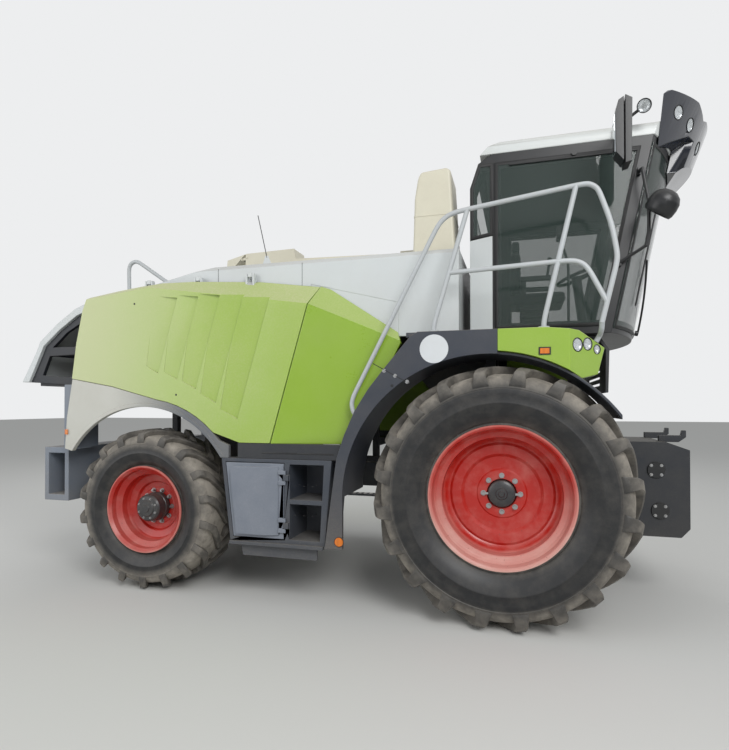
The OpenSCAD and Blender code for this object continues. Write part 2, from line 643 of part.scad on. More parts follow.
// Heights of the storage door's hinges
BOX_HINGES = [690, 1100];
module swing_room(grow) translate([rear_x, -kingpin_y, 0]) cylinder(h = 2 * sill_z, r = swing_r + grow,
    $fn = 96);
module storage_box() color("slategray") at_front() {
    difference() {
        across(-door_y, -box_in) polygon([[box_rear_x, box_top], [box_front_x + 60, box_top],
            [box_front_x, box_low],
            [box_rear_x + 90, box_low]]);
        swing_room(0);
        // Room behind the door
        difference() {
            across(-door_y - 10, -box_in - 30) polygon([[box_rear_x + 40, 1225], [box_door_x - 10, 1225],
                [box_door_x - 10, 565], [box_rear_x + 120, 565]]);
            swing_room(30);
        }
        // Two open compartments
        across(-door_y - 10, -box_in - 60) polygon([[-1760, 1215], [-1450, 1215], [-1465, 915], [-1760, 915]]);
        across(-door_y - 10, -box_in - 60) polygon([[-1760, 875], [-1470, 875], [-1485, 570], [-1760, 570]]);
    }
    for (z = BOX_HINGES) difference() {
        block([box_hinge_x - 11, -box_hinge_y - 12, z - 25], [box_hinge_x + 38, 5 - door_y, z + 25]);
        rod([box_hinge_x, -box_hinge_y, z - 30], [box_hinge_x, -box_hinge_y, z + 30], box_hinge_r + fit);
    }
    // Step plate under the door and the dark plate below it
    across(-door_y - 28, 10 - door_y) polygon([[box_rear_x + 96, 505], [box_front_x - 12, 505],
        [box_front_x - 8, box_low + 5], [box_rear_x + 92, box_low + 5]]);
    across(-door_y + 30, -door_y + 50) polygon([[box_rear_x + 200, 400], [box_front_x - 80, 400],
        [box_front_x - 80, box_low + 5], [box_rear_x + 170, box_low + 5]]);
}
// Raised face of the storage door: a flat field with rounded corners, then a fold towards the hinges
module door_face() intersection() {
    linear_extrude(2000) polygon([[box_rear_x + 80, -door_y], [box_rear_x + 95, -door_y - 30],
        [box_rear_x + 115, -door_y - 38],
        [box_hinge_x - 190, -door_y - 38], [box_hinge_x - 165, -door_y - 32], [box_hinge_x - 62, -door_y - 4],
        [box_hinge_x - 62, -door_y]]);
    across(-door_y - 60, -door_y) polygon(concat([[box_rear_x + 165, 600]], [[box_hinge_x - 62, 600]],
        [[box_hinge_x - 62, 1190]], arc([box_rear_x + 170, 1120], 70, 90, 172, 5)));
}
module storage_door() color("slategray") at_front() {
    across(-door_y - 2, 26 - door_y) polygon([[box_rear_x + 46, 1219], [box_door_x - 16, 1219],
        [box_door_x - 16, 571],
        [box_rear_x + 123, 571]]);
    door_face();
    for (z = BOX_HINGES) {
        rod([box_hinge_x, -box_hinge_y, z - 60], [box_hinge_x, -box_hinge_y, z + 60], box_hinge_r);
        for (t = [-1, 1]) translate([box_hinge_x, -box_hinge_y, z + t * 45]) {
            cylinder(h = 32, r = 10, center = true);
            block([-57, -10, -16], [0, -2, 16]);
            block([-57, -4, -16], [-20, 11, 16]);
        }
    }
}

// Ladder to the left of the machine, behind the front wheel
ladder_x = rear_x + 1000;
module access_ladder() color("darkgray") at_front() {
    for (x = [ladder_x, ladder_x + 690]) block([x, door_y - 120, 500], [x + 30, door_y, sill_z]);
    for (i = [0 : 2]) difference() {
        block([ladder_x + 28, door_y - 120, 500 + i * 250], [ladder_x + 692, door_y, 530 + i * 250]);
        for (j = [0 : 7]) block([ladder_x + 60 + j * 78, door_y - 100, 490 + i * 250],
            [ladder_x + 100 + j * 78, door_y - 20, 540 + i * 250]);
    }
}

// Cab

module cab_platform() color("dimgray") at_front() {
    difference() {
        block([-740, -860, walk_z - 60], [800, 860, walk_z]);
        block([-800, -duct_y - 8, walk_z - 80], [-545, duct_y + 8, walk_z + 20]);
    }
    // Apron under the windscreen with cooling slots
    difference() {
        across(-860, 860) polygon([[800, walk_z - 30], [860, walk_z - 120], [850, 1830], [825, 1830],
            [830, walk_z - 125],
            [790, walk_z - 60], [770, walk_z - 50]]);
        for (z = [1900 : 60 : 2020]) block([800, -500, z], [900, 500, z + 25]);
    }
    for (s = [-1, 1], x = [-180, 620])
        block([x, s > 0 ? rail_y - 90 : -rail_y, x < 0 ? front_tyre_r + 200 : 1400],
            [x + 90, s > 0 ? rail_y : 90 - rail_y, walk_z - 50]);
}

screen_bulge = screen_r - sqrt(screen_r * screen_r - cab_y * cab_y);
screen_foot_x = 820;
screen_lean = 11.5;
// A leaning drum whose front face is the windscreen's curve, drawn larger or smaller by grow
module screen_drum(grow) translate([screen_foot_x + screen_bulge - screen_r, 0, walk_z])
    rotate([0, screen_lean, 0])
    translate([0, 0, -800]) cylinder(h = 3500, r = screen_r + grow, $fn = 96);

module cab_outline(inset) polygon([[-270 + inset, walk_z + inset], [-270 + inset, cab_top - 280],
    [-200 + inset, cab_top - 70 - inset / 2],
    [-80, cab_top - inset], [1700, cab_top - inset], [1700, walk_z + inset]]);

sill_top = 2420;
header_z = cab_top - 140;
module cab_shell() color("black") at_front() {
    cab_frame();
    for (z = CAB_HINGES) difference() {
        block([cab_hinge_x - 15, cab_y - 5, z - cab_hinge_h / 2], [cab_hinge_x + 15, cab_hinge_y + 14,
            z + cab_hinge_h / 2]);
        rod([cab_hinge_x, cab_hinge_y, z - cab_hinge_h], [cab_hinge_x, cab_hinge_y, z + cab_hinge_h],
            cab_hinge_r + fit);
    }
}
module cab_frame() difference() {
    intersection() {
        across(-cab_y, cab_y) cab_outline(0);
        screen_drum(0);
    }
    intersection() {
        across(cab_wall - cab_y, cab_y - cab_wall) cab_outline(cab_wall);
        screen_drum(-cab_wall);
    }
    // Side openings between the pillars
    across(-cab_y - 50, cab_y + 50) polygon([[-10, sill_top], [-10, header_z], [1040, header_z],
        [785, sill_top]]);
    across(-cab_y - 50, cab_y + 50) polygon([[-225, 3180], [-225, cab_top - 280], [-165, header_z],
        [-85, header_z], [-85, 3180]]);
    // Windscreen opening
    block([600, 70 - cab_y, sill_top], [2000, cab_y - 70, header_z]);
    // Rear window
    block([-400, -780, 3150], [-150, 780, header_z]);
}

// White panels below the quarter windows
module cab_rear_panels() color("gainsboro") at_front() for (s = [-1, 1])
    across(s > 0 ? cab_y + fit : -cab_y - 22, s > 0 ? cab_y + 22 : -cab_y - fit)
        polygon([[-268, walk_z + 2], [-268, 3140], [-80, 3170], [-80, walk_z + 2]]);

pane_top = cab_top - 80;
module cab_windows() color("lightblue", 0.5) at_front() {
    // Right side pane
    across(-cab_y - glass - fit, -cab_y - fit)
        polygon([[-62, sill_top - 50], [-62, pane_top], [1080, pane_top], [788, sill_top - 50]]);
    // Quarter panes
    for (s = [-1, 1]) across(s > 0 ? cab_y + fit : -cab_y - glass - fit,
        s > 0 ? cab_y + glass + fit : -cab_y - fit)
        polygon([[-268, 3150], [-268, cab_top - 280], [-198, pane_top], [-72, pane_top], [-72, 3180]]);
    // Windscreen
    intersection() {
        difference() {
            screen_drum(glass + fit);
            screen_drum(fit);
        }
        block([500, 10 - cab_y, walk_z + 40], [2000, cab_y - 10, cab_top - 60]);
    }
    // Rear pane
    block([-270 - glass - fit, -820, 3110], [-270 - fit, 820, cab_top - 280]);
}

cab_door_y = cab_y + 6;
cab_hinge_x = -54;
cab_hinge_y = cab_door_y + 21;
cab_hinge_r = 8;
cab_hinge_h = 60;
// Heights of the left door's hinges
CAB_HINGES = [sill_top + 140, cab_top - 340];
module cab_door_left() color("black") at_front() {
    across(cab_door_y, cab_door_y + 42) difference() {
        polygon([[-30, sill_top - 50], [-30, cab_top - 90], [1095, cab_top - 90], [795, sill_top - 50]]);
        polygon([[30, sill_top + 20], [30, cab_top - 155], [1012, cab_top - 155], [762, sill_top + 20]]);
    }
    for (z = CAB_HINGES) {
        rod([cab_hinge_x, cab_hinge_y, z - 80], [cab_hinge_x, cab_hinge_y, z + 80], cab_hinge_r);
        for (t = [-1, 1]) block([cab_hinge_x - 12, cab_hinge_y - 12, z + t * 58 - 16],
            [-25, cab_hinge_y + 15, z + t * 58 + 16]);
    }
}
module cab_door_glass() color("lightblue", 0.5) at_front()
    across(cab_door_y + 42 + fit, cab_door_y + 42 + fit + glass)
        polygon([[12, sill_top], [12, cab_top - 135], [1040, cab_top - 135], [775, sill_top]]);

roof_edge = 80;
roof_top = cab_top + roof_h;
module cab_roof() color("whitesmoke") at_front() {
    intersection() {
        across(-cab_y, cab_y) polygon([[-190, cab_top], [-120, cab_top + 70], [0, roof_top], [1700, roof_top],
            [1700, cab_top]]);
        translate([-400, 0, 0]) rotate([90, 0, 90]) linear_extrude(2400) polygon(concat([[-cab_y, cab_top]],
            arc([roof_edge - cab_y, roof_top - roof_edge], roof_edge, 180, 90, 5),
            arc([cab_y - roof_edge, roof_top - roof_edge], roof_edge, 90, 0, 5), [[cab_y, cab_top]]));
        screen_drum(glass + fit);
    }
}

// Black visor ahead of the roof: strongly bowed, leaning forward, hollow above the roof, with round lamp recesses
visor_low = cab_top - 160;
visor_top = cab_top + 350;
visor_tip_z = visor_top - 45;
visor_r = 1250;
visor_lean = 20;
visor_skin = 45;
screen_gap = 3;
// Lamp recesses: turn from the middle plane, distance below the tip along the lean, radius
VISOR_LAMPS = [[-44, -230, 56], [-34.5, -226, 56], [-19, -253, 56], [19, -253, 56], [34.5, -226, 56],
    [44, -230, 56]];
TURN = 0;
DROP = 1;
LAMP_R = 2;
module visor_frame() translate([front_reach, 0, visor_tip_z]) rotate([0, visor_lean, 0])
    translate([-visor_r, 0, 0]) children();
module visor_drum(grow) visor_frame() cylinder(h = 3500, r = visor_r + grow, center = true, $fn = 96);
module cab_visor() color("black") at_front() {
    visor_brow();
    // Ribs that stand on the roof behind the visor
    for (y = [-450, 450]) intersection() {
        across(y - 12, y + 12) polygon([[1180, roof_top + fit], [1180, roof_top + 40], [1500, roof_top + 150],
            [1700, roof_top + 150], [1700, roof_top + fit]]);
        visor_drum(-visor_skin / 2);
    }
}
module visor_brow() difference() {
    intersection() {
        across(-cab_y - 30, cab_y + 30) polygon([[900, visor_low], [1430, visor_low], [1478, visor_low + 30],
            [1705, visor_low + 160], [1785, visor_low + 310], [2000, visor_low + 420], [2000, visor_top],
                [1130, visor_top],
            [1130, cab_top]]);
        visor_drum(0);
        // Top edge seen from ahead: two end lobes and a middle lobe
        translate([800, 0, 0]) rotate([90, 0, 90]) linear_extrude(1400) polygon([[-cab_y - 30, visor_low],
            [-cab_y - 30, visor_top - 60],
            [-cab_y + 30, visor_top], [-700, visor_top], [-590, visor_top - 45], [-520, visor_top - 75],
                [-430, visor_top - 45],
            [430, visor_top - 45], [520, visor_top - 75], [590, visor_top - 45], [700, visor_top],
                [cab_y - 30, visor_top],
            [cab_y + 30, visor_top - 60], [cab_y + 30, visor_low]]);
    }
    screen_drum(glass + screen_gap);
    // Hollow behind the skin above the roof
    intersection() {
        visor_drum(-visor_skin);
        block([900, -cab_y - 60, roof_top + 30], [2200, cab_y + 60, visor_top + 50]);
    }
    // The end lobes stop higher than the middle one
    for (s = [-1, 1]) across(s > 0 ? 560 : -cab_y - 60, s > 0 ? cab_y + 60 : -560)
        polygon([[1000, visor_low - 20], [1000, visor_low + 60], [1195, visor_low + 70],
            [1500, visor_low + 250],
            [2000, visor_low + 250], [2000, visor_low - 20]]);
    for (l = VISOR_LAMPS) visor_frame() rotate([0, 0, l[TURN]]) translate([visor_r - 30, 0, l[DROP]])
        rotate([0, 90, 0])
        cylinder(h = 90, r = l[LAMP_R]);
}

// Seat and console seen through the windows
module driver_seat() color("dimgray") at_front() {
    block([120, -240, walk_z + cab_wall], [420, 240, 2700]);
    block([60, -260, 2700], [580, 260, 2830]);
    block([40, -250, 2830], [150, 250, 3380]);
}
module steering_console() color("dimgray") at_front() {
    block([690, -75, walk_z + cab_wall], [820, 75, walk_z + cab_wall + 60]);
    rod([757, 0, walk_z + cab_wall + 40], [680, 0, 3000], 45);
    translate([680, 0, 2995]) rotate([0, -20, 0]) {
        rotate_extrude() translate([185, 0]) circle(16);
        for (a = [0, 120, 240]) rotate([0, 0, a]) rod([0, 0, -15], [185, 0, 0], 11);
    }
}

// Rails. Points are measured from the front axle.

rail_side = 1420;
module handrail_right() color("lightgray") at_front() {
    y = -rail_side;
    tube([[-1130, y, 1610], [-1200, y, 1660], [-1218, y, 1760], [-510, y, 3126], [-470, y, 3190],
        [-415, y, 3237],
        [-340, y, 3265], [590, y, 3380], [650, y, 3378], [700, y, 3342], [724, y, 3290], [798, y, 3068],
        [834, y, 2862], [836, y, 2790], [729, y, 2335], [731, -1300, 2259], [700.3, -1300, 2207.4]], tube_r);
    tube([[-253, y, 3275], [-522, y, walk_z + 75], [-522, y, walk_z + fit]], tube_r);
    tube([[554, y, 3376], [320, y, walk_z + 75], [320, y, walk_z + fit]], tube_r);
    // Middle rail
    tube([[-398, y, 2781], [460, y, 2814], [560, y, 2808], [630, y, 2762], [765, y, 2488]], tube_r);
    for (x = [-522, 320]) translate([x, y, walk_z + fit]) cylinder(h = 14, r = 42);
    block([-1150, fender_skin - fender_y, 1590], [-1105, y, 1630]);
}
// The left rail ends at the cab door's step
module handrail_left() color("lightgray") at_front() {
    y = rail_side;
    tube([[-1130, y, 1610], [-1200, y, 1660], [-1218, y, 1760], [-482, y, 3180], [-420, y, 3150],
        [-600, y, walk_z + 75], [-600, y, walk_z + fit]], tube_r);
    translate([-600, y, walk_z + fit]) cylinder(h = 14, r = 42);
    block([-1150, y, 1590], [-1105, fender_y - fender_skin, 1630]);
}
rear_rail_y = 1100;
module rear_rail() color("lightgray") at_front() {
    tube([[rear_x - 440, -rear_rail_y, deck_at(rear_x - 440) + 15], [rear_x - 450, -rear_rail_y, deck_z + 90],
        [rear_x - 420, -rear_rail_y, deck_z + 142], [rear_x - 350, -rear_rail_y, deck_z + 157],
        [rear_x + 40, -rear_rail_y, deck_at(rear_x + 40) + 15]], tube_r);
    for (x = [rear_x - 440, rear_x + 40]) translate([x, -rear_rail_y, deck_at(x) + fit])
        rotate([0, -deck_fall, 0]) cylinder(h = 22, r = 45);
}

// Mirrors: side, place of the head and of the arm's foot along X
MIRRORS = [[-1, 880, 900], [1, 1200, 1080]];
SIDE = 0;
HEAD_X = 1;
FOOT_X = 2;
mirror_z = cab_top - 400;
module mirrors() color("black") at_front() {
    for (m = MIRRORS) mirror([0, m[SIDE] > 0 ? 1 : 0, 0]) {
        // Head in two shells with a joint between them
        across(-1480, -1340) polygon([[m[HEAD_X] - 4, mirror_z + 20], [m[HEAD_X] - 4, mirror_z + 492],
            [m[HEAD_X] - 40, mirror_z + 470],
            [m[HEAD_X] - 62, mirror_z + 380], [m[HEAD_X] - 58, mirror_z + 90]]);
        across(-1486, -1334) polygon([[m[HEAD_X] + 4, mirror_z], [m[HEAD_X] + 46, mirror_z + 12],
            [m[HEAD_X] + 52, mirror_z + 470],
            [m[HEAD_X] + 4, mirror_z + 500]]);
        block([m[HEAD_X] - 10, -1460, mirror_z + 60], [m[HEAD_X] + 10, -1360, mirror_z + 440]);
        rod([m[HEAD_X], -1362, cab_top], [m[FOOT_X], -cab_y - 20, cab_top + 60], 14);
        block([m[FOOT_X] - 30, -cab_y - 30, cab_top + 5], [m[FOOT_X] + 30, -cab_y - fit, cab_top + 80]);
    }
    // Round mirror that looks down at the header, on a bow beside the windscreen
    translate(EYE) rotate([0, 37, -31]) rotate_extrude() polygon([[0, 120], [48, 112], [84, 88], [106, 50],
        [112, 5],
        [108, -40], [98, -62], [90, -62], [86, -50], [0, -44]]);
    rod(EYE, [1103, -cab_y - 150, EYE[2]], 12);
    tube([[1060, -cab_y - 18, cab_top - 290], [1060, -cab_y - 140, cab_top - 320],
        [1103, -cab_y - 150, cab_top - 580],
        [1103, -cab_y - 150, cab_top - 810], [1085, -cab_y - 140, cab_top - 920],
            [915, -cab_y - 18, cab_top - 1010]], 13);
    block([1048, -cab_y - 30, cab_top - 320], [1072, -cab_y - fit, cab_top - 260]);
    block([902, -cab_y - 30, cab_top - 1040], [928, -cab_y - fit, cab_top - 980]);
    // Work lamp above the mirror's arm
    rod([1090, -cab_y - 78, cab_top + 200], [1078, -cab_y - 130, cab_top + 173], 53);
    rod([1088, -cab_y - 90, cab_top + 193], [893, -cab_y - 130, cab_top + 40], 12);
}
EYE = [1171, -1250, 3221];

// Cream tank behind the cab, on the right of the deck
module additive_tank() color("cornsilk") at_front() {
    across(-930, -500) polygon([[-790, deck_z], [-775, deck_z + 525], [-752, deck_z + 712],
        [-742, deck_z + 765],
        [-722, deck_z + 795], [-480, deck_z + 815], [-452, deck_z + 800], [-440, deck_z + 765],
            [-400, deck_z]]);
    translate([-600, -715, deck_z + 790]) cylinder(h = 60, r = 75);
}

// Spout

ring_r = 250;
lift_x = -spout_back - 230;
lift_z = deck_z + 190;
spout_wall = 12;
lift_pin_r = 22;
// Rear face of the turret's elbow, clear of the arm's swing
elbow_x = lift_x + 132;
module spout_turret() color("cornsilk") at_front() {
    translate([-spout_back, 0, deck_z + fit]) cylinder(h = 60, r = ring_r);
    block([elbow_x, -spout_w / 2, deck_z + 55], [-spout_back + 170, spout_w / 2, deck_z + 320]);
    for (s = [-1, 1]) difference() {
        across(s > 0 ? spout_w / 2 + 4 : -spout_w / 2 - 24, s > 0 ? spout_w / 2 + 24 : -spout_w / 2 - 4)
            polygon([[-spout_back + 100, deck_z + 50], [-spout_back + 100, deck_z + 240],
                [lift_x - 45, lift_z + 45], [lift_x - 45, lift_z - 40], [-spout_back - 150, deck_z + 50]]);
        translate([lift_x, 0, lift_z]) rotate([90, 0, 0]) cylinder(h = 600, r = lift_pin_r + fit,
            center = true);
    }
    for (s = [-1, 1]) block([elbow_x + 5, s > 0 ? spout_w / 2 - 5 : -spout_w / 2 - 10, deck_z + 60],
        [-spout_back + 80, s > 0 ? spout_w / 2 + 10 : 5 - spout_w / 2, deck_z + 220]);
}

// Channel open below: roof and two side plates
flap_x = lift_x - spout_len;
arm_step_x = lift_x - 1065;
flap_pin_z = deck_z + 385;
flap_pin_r = 10;
module spout_arm() color("cornsilk") at_front() {
    half = spout_w / 2;
    difference() {
        across(-half, half) polygon([[lift_x + 60, lift_z - 75], [lift_x + 60, lift_z + 110],
            [arm_step_x, deck_z + 330],
            [arm_step_x - 20, deck_z + 445], [flap_x, deck_z + 430], [flap_x, deck_z + 240],
                [arm_step_x, deck_z + 150], [lift_x - 60, deck_z + 105]]);
        across(spout_wall - half, half - spout_wall) polygon([[lift_x + 80, lift_z - 100],
            [lift_x + 80, lift_z + 98], [arm_step_x, deck_z + 318],
            [arm_step_x - 30, deck_z + 433], [flap_x - 20, deck_z + 418], [flap_x - 20, deck_z + 100],
                [lift_x + 80, deck_z + 50]]);
        rod([flap_x + 20, -spout_w, flap_pin_z], [flap_x + 20, spout_w, flap_pin_z], flap_pin_r + fit);
    }
    rod([lift_x, -half - 24, lift_z], [lift_x, half + 24, lift_z], lift_pin_r);
}
module spout_flap() color("cornsilk") at_front() {
    half = spout_w / 2;
    difference() {
        across(-half, half) polygon([[flap_x - 6, deck_z + 425], [flap_x - 230, deck_z + 370],
            [flap_x - 240, deck_z + 290],
            [flap_x - 150, deck_z + 280]]);
        across(spout_wall - half, half - spout_wall) polygon([[flap_x + 40, deck_z + 411],
            [flap_x - 250, deck_z + 350],
            [flap_x - 250, deck_z + 150], [flap_x + 40, deck_z + 150]]);
    }
    for (s = [-1, 1]) across(s > 0 ? half - spout_wall - 12 : spout_wall + 4 - half,
        s > 0 ? half - spout_wall - 4 : spout_wall + 12 - half)
        polygon([[flap_x + 38, flap_pin_z + 16], [flap_x + 38, flap_pin_z - 20],
            [flap_x - 60, flap_pin_z - 30], [flap_x - 60, flap_pin_z + 5]]);
    for (s = [-1, 1]) block([flap_x - 60, s > 0 ? half - spout_wall - 12 : 1 - half, flap_pin_z - 28],
        [flap_x - 45, s > 0 ? half - 1 : spout_wall + 12 - half, flap_pin_z - 2]);
    rod([flap_x + 20, -half - 8, flap_pin_z], [flap_x + 20, half + 8, flap_pin_z], flap_pin_r);
}

chassis_frame();
front_axle();
rear_axle();
rear_knuckle_right();
rear_knuckle_left();
front_rim_right();
front_rim_left();
rear_rim_right();
rear_rim_left();
front_tyre_right();
front_tyre_left();
rear_tyre_right();
rear_tyre_left();
engine_block();
crop_duct();
feed_housing();
feed_roller_lower();
feed_roller_upper();
side_door_right();
side_door_left();
corner_panel_right();
corner_panel_left();
rear_arch_right();
rear_arch_left();
upper_body();
tail_hood();
tail_frame();
radiator();
rear_bumper();
fender_right();
fender_left();
lamp_pod_right();
lamp_pod_left();
storage_box();
storage_door();
access_ladder();
cab_platform();
cab_shell();
cab_rear_panels();
cab_roof();
cab_visor();
cab_windows();
cab_door_left();
cab_door_glass();
driver_seat();
steering_console();
handrail_right();
handrail_left();
rear_rail();
mirrors();
additive_tank();
spout_turret();
spout_arm();
spout_flap();
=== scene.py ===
import json
import math

import bmesh
import bpy
from mathutils import Matrix, Vector


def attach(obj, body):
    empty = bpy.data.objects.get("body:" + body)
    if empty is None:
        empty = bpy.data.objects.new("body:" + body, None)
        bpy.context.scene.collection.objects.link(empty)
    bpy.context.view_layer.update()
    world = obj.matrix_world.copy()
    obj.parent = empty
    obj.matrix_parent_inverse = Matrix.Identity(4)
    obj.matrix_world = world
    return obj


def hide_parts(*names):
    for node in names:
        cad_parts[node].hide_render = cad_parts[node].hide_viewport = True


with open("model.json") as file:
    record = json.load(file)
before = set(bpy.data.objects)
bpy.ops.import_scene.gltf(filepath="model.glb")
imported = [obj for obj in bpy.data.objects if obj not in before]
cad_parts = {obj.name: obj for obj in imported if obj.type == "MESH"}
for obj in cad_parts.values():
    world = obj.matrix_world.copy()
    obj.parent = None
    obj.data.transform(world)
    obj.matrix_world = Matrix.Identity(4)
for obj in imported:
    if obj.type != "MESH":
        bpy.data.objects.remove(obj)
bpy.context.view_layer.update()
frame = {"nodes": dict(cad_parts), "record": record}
nodes = frame["nodes"]
bodyOf = {node: body for body, members in frame["record"]["behaviour"]["bodies"].items() for node in members}

frontAxle = 1.57  # most places below are measured from the front axle, like the machine's drawing

# the photograph's view, read back through both near wheels
camera = {"place": (1.73, -5.79, 1.72), "heading": 16.09, "pitch": 0.63, "lens": 26.24, "shiftUp": 0.033}

# world strength, and the three soft lamps round the machine
light = {
    "world": 0.5,
    "key": {"place": (5.5, -8.5, 7.5), "aim": (0.3, 0, 1.6), "size": 5.0, "watts": 620},
    "fill": {"place": (-6.5, -7.5, 4.0), "aim": (-0.5, 0, 1.5), "size": 6.0, "watts": 190},
    "back": {"place": (-3.0, 9.0, 8.0), "aim": (0, 0, 1.5), "size": 7.0, "watts": 300},
}

cam = bpy.data.cameras.new("camera")
cam.lens = camera["lens"]
cam.sensor_width = 36
cam.shift_y = camera["shiftUp"]
camObj = bpy.data.objects.new("camera", cam)
camObj.location = camera["place"]
camObj.rotation_euler = (math.radians(90 + camera["pitch"]), 0, math.radians(camera["heading"]))
bpy.context.collection.objects.link(camObj)
bpy.context.scene.camera = camObj


# sRGB hex to linear
def linear(hexCode):
    parts = [int(hexCode[i : i + 2], 16) / 255 for i in (1, 3, 5)]
    return [c / 12.92 if c <= 0.04045 else ((c + 0.055) / 1.055) ** 2.4 for c in parts] + [1]


# one shader node; keys are socket names, socket numbers or node properties, and From and To are two ends
# each.
# An output given as a value is linked, a hex colour is set as its linear value, anything else is set as it
# is.
def addNode(mat, kind, given):
    node = mat.node_tree.nodes.new("ShaderNode" + kind)
    for ends in ("From", "To"):
        if ends in given:
            node.inputs[ends + " Min"].default_value, node.inputs[ends + " Max"].default_value = given[ends]
    for key, value in given.items():
        if isinstance(value, bpy.types.NodeSocket):
            mat.node_tree.links.new(value, node.inputs[key])
        elif isinstance(key, int) or key in node.inputs:
            hexGiven = isinstance(value, str) and value.startswith("#")
            node.inputs[key].default_value = linear(value) if hexGiven else value
        elif key not in ("From", "To"):
            setattr(node, key, value)
    return node.outputs


# texture scale whose features are about size millimetres wide
def perMm(size):
    return 1000 / size


# an empty material and its texture coordinates
def newMaterial(name):
    mat = bpy.data.materials.new(name)
    mat.use_nodes = True
    mat.node_tree.nodes.clear()
    return mat, addNode(mat, "TexCoord", {})


# ends a material with its surface shader
def shader(mat, look):
    bsdf = addNode(mat, "BsdfPrincipled", look)
    addNode(mat, "OutputMaterial", {"Surface": bsdf[0]})
    return mat


# Dust that lies on upward faces, gathers low down and breaks up in patches. Returns a 0 to 1 mask.
def dustMask(mat, coord, look):
    patches = addNode(mat, "TexNoise", {"Scale": perMm(look["patch"]), "Detail": 6.0, "Roughness": 0.62,
        "Vector": coord["Object"]})
    grain = addNode(mat, "TexNoise", {"Scale": perMm(14), "Detail": 3.0, "Vector": coord["Object"]})
    facing = addNode(mat, "SeparateXYZ", {0: coord["Normal"]})
    height = addNode(mat, "SeparateXYZ", {0: coord["Object"]})
    top = addNode(mat, "MapRange", {"From": (0.2, 0.95), "To": (0, look["onTop"]), 0: facing[2]})
    low = addNode(mat, "MapRange", {"From": (look["lowFrom"], 0.2), "To": (0, look["lowDown"]), 0: height[2]})
    both = addNode(mat, "Math", {"operation": "ADD", 0: top[0], 1: low[0]})
    cloud = addNode(mat, "MapRange", {"From": (0.36, 0.7),
        "To": (look["veil"], look["veil"] + look["spread"]), 0: patches[0]})
    speck = addNode(mat, "MapRange", {"From": (0.42, 0.68), "To": (0.75, 1.1), 0: grain[0]})
    mix = addNode(mat, "Math", {"operation": "ADD", 0: both[0], 1: cloud[0]})
    return addNode(mat, "Math", {"operation": "MULTIPLY", "use_clamp": True, 0: mix[0], 1: speck[0]})[0]


paintDefaults = {
    "dust": "#A79C8B", "gloss": 0.3, "patch": 260, "onTop": 0.2, "lowDown": 0.1, "lowFrom": 1.5,
    "spread": 0.1, "veil": 0.0, "peel": 5, "metallic": 0.0, "coat": 0.0, "rearTone": None, "rearFrom": 0.0,
    "rearTo": 1.0,
}


# Paint or moulded skin on a panel: an even film with a slight orange peel, a dust veil and dull patches.
# rearTone, where given, is the tone that the film fades to between rearFrom and rearTo along the machine.
def dustyPaint(name, paint, **given):
    look = {**paintDefaults, **given}
    mat, coord = newMaterial(name)
    mask = dustMask(mat, coord, look)
    tone = addNode(mat, "TexNoise", {"Scale": perMm(900), "Detail": 2.0, "Vector": coord["Object"]})
    shift = addNode(mat, "MapRange", {"From": (0.3, 0.7), "To": (0.95, 1.04), 0: tone[0]})
    film = addNode(mat, "HueSaturation", {"Color": paint, "Value": shift[0]})
    if look["rearTone"]:
        along = addNode(mat, "SeparateXYZ", {0: coord["Object"]})
        fade = addNode(mat, "MapRange", {"From": (look["rearFrom"], look["rearTo"]),
            "interpolation_type": "SMOOTHSTEP", 0: along[0]})
        film = addNode(mat, "MixRGB", {"Color2": look["rearTone"], "Fac": fade[0], "Color1": film[0]})
    base = addNode(mat, "MixRGB", {"Color2": look["dust"], "Fac": mask, "Color1": film[0]})
    dull = addNode(mat, "MapRange", {"To": (look["gloss"], 0.92), 0: mask})
    skin = addNode(mat, "TexNoise", {"Scale": perMm(look["peel"]), "Detail": 2.0, "Vector": coord["Object"]})
    bump = addNode(mat, "Bump", {"Strength": 0.06, "Distance": 0.002, "Height": skin[0]})
    return shader(mat, {"Metallic": look["metallic"], "Coat Weight": look["coat"], "Coat Roughness": 0.12,
        "IOR": 1.5, "Base Color": base[0], "Roughness": dull[0], "Normal": bump[0]})


# gloss polyurethane on the side doors: yellow-green under a pale veil of chaff dust that thickens to the rear
doorPaint = dustyPaint("glossGreenDoorPaint", "#94B636", dust="#C8C6A0", patch=800, onTop=0.62, lowDown=0.0,
    spread=0.18, veil=0.16, coat=0.3, rearTone="#BAC48E", rearFrom=-0.7, rearTo=-2.6)
# the same paint where hands and weather keep it clean: corner panels and lamp pods
cleanGreen = dustyPaint("glossGreenPanelPaint", "#8CB02B", dust="#C4C596", gloss=0.25, patch=700, onTop=0.75,
    lowDown=0.12, lowFrom=2.2, veil=0.03, coat=0.4)
# gloss paint on the deck and hood: near white, greyed by chaff dust on top
lightPaint = dustyPaint("lightGreyPaint", "#CDD2D3", gloss=0.32, patch=600, onTop=0.42, lowDown=0.15,
    lowFrom=1.6, spread=0.12, coat=0.2)
# cream polyethylene and enamel on the tank and spout, chalky with age
creamPaint = dustyPaint("creamEnamel", "#D6D2BF", gloss=0.42, patch=300, spread=0.18)
# satin blue-grey paint on the fenders: wiped clean on the sides, dusty on the walkway
fenderPaint = dustyPaint("satinFenderPaint", "#363B45", gloss=0.36, patch=380, onTop=0.45, lowDown=0.3,
    lowFrom=1.3, spread=0.07)
# light trim round the rear wheels, chalked pale at the rear and greyer towards the box, splashed with dry mud
archPaint = dustyPaint("archTrimPaint", "#62666B", dust="#A69E90", gloss=0.4, onTop=0.35, lowDown=0.2,
    spread=0.14, rearTone="#C4C4BC", rearFrom=-1.15, rearTo=-2.1)
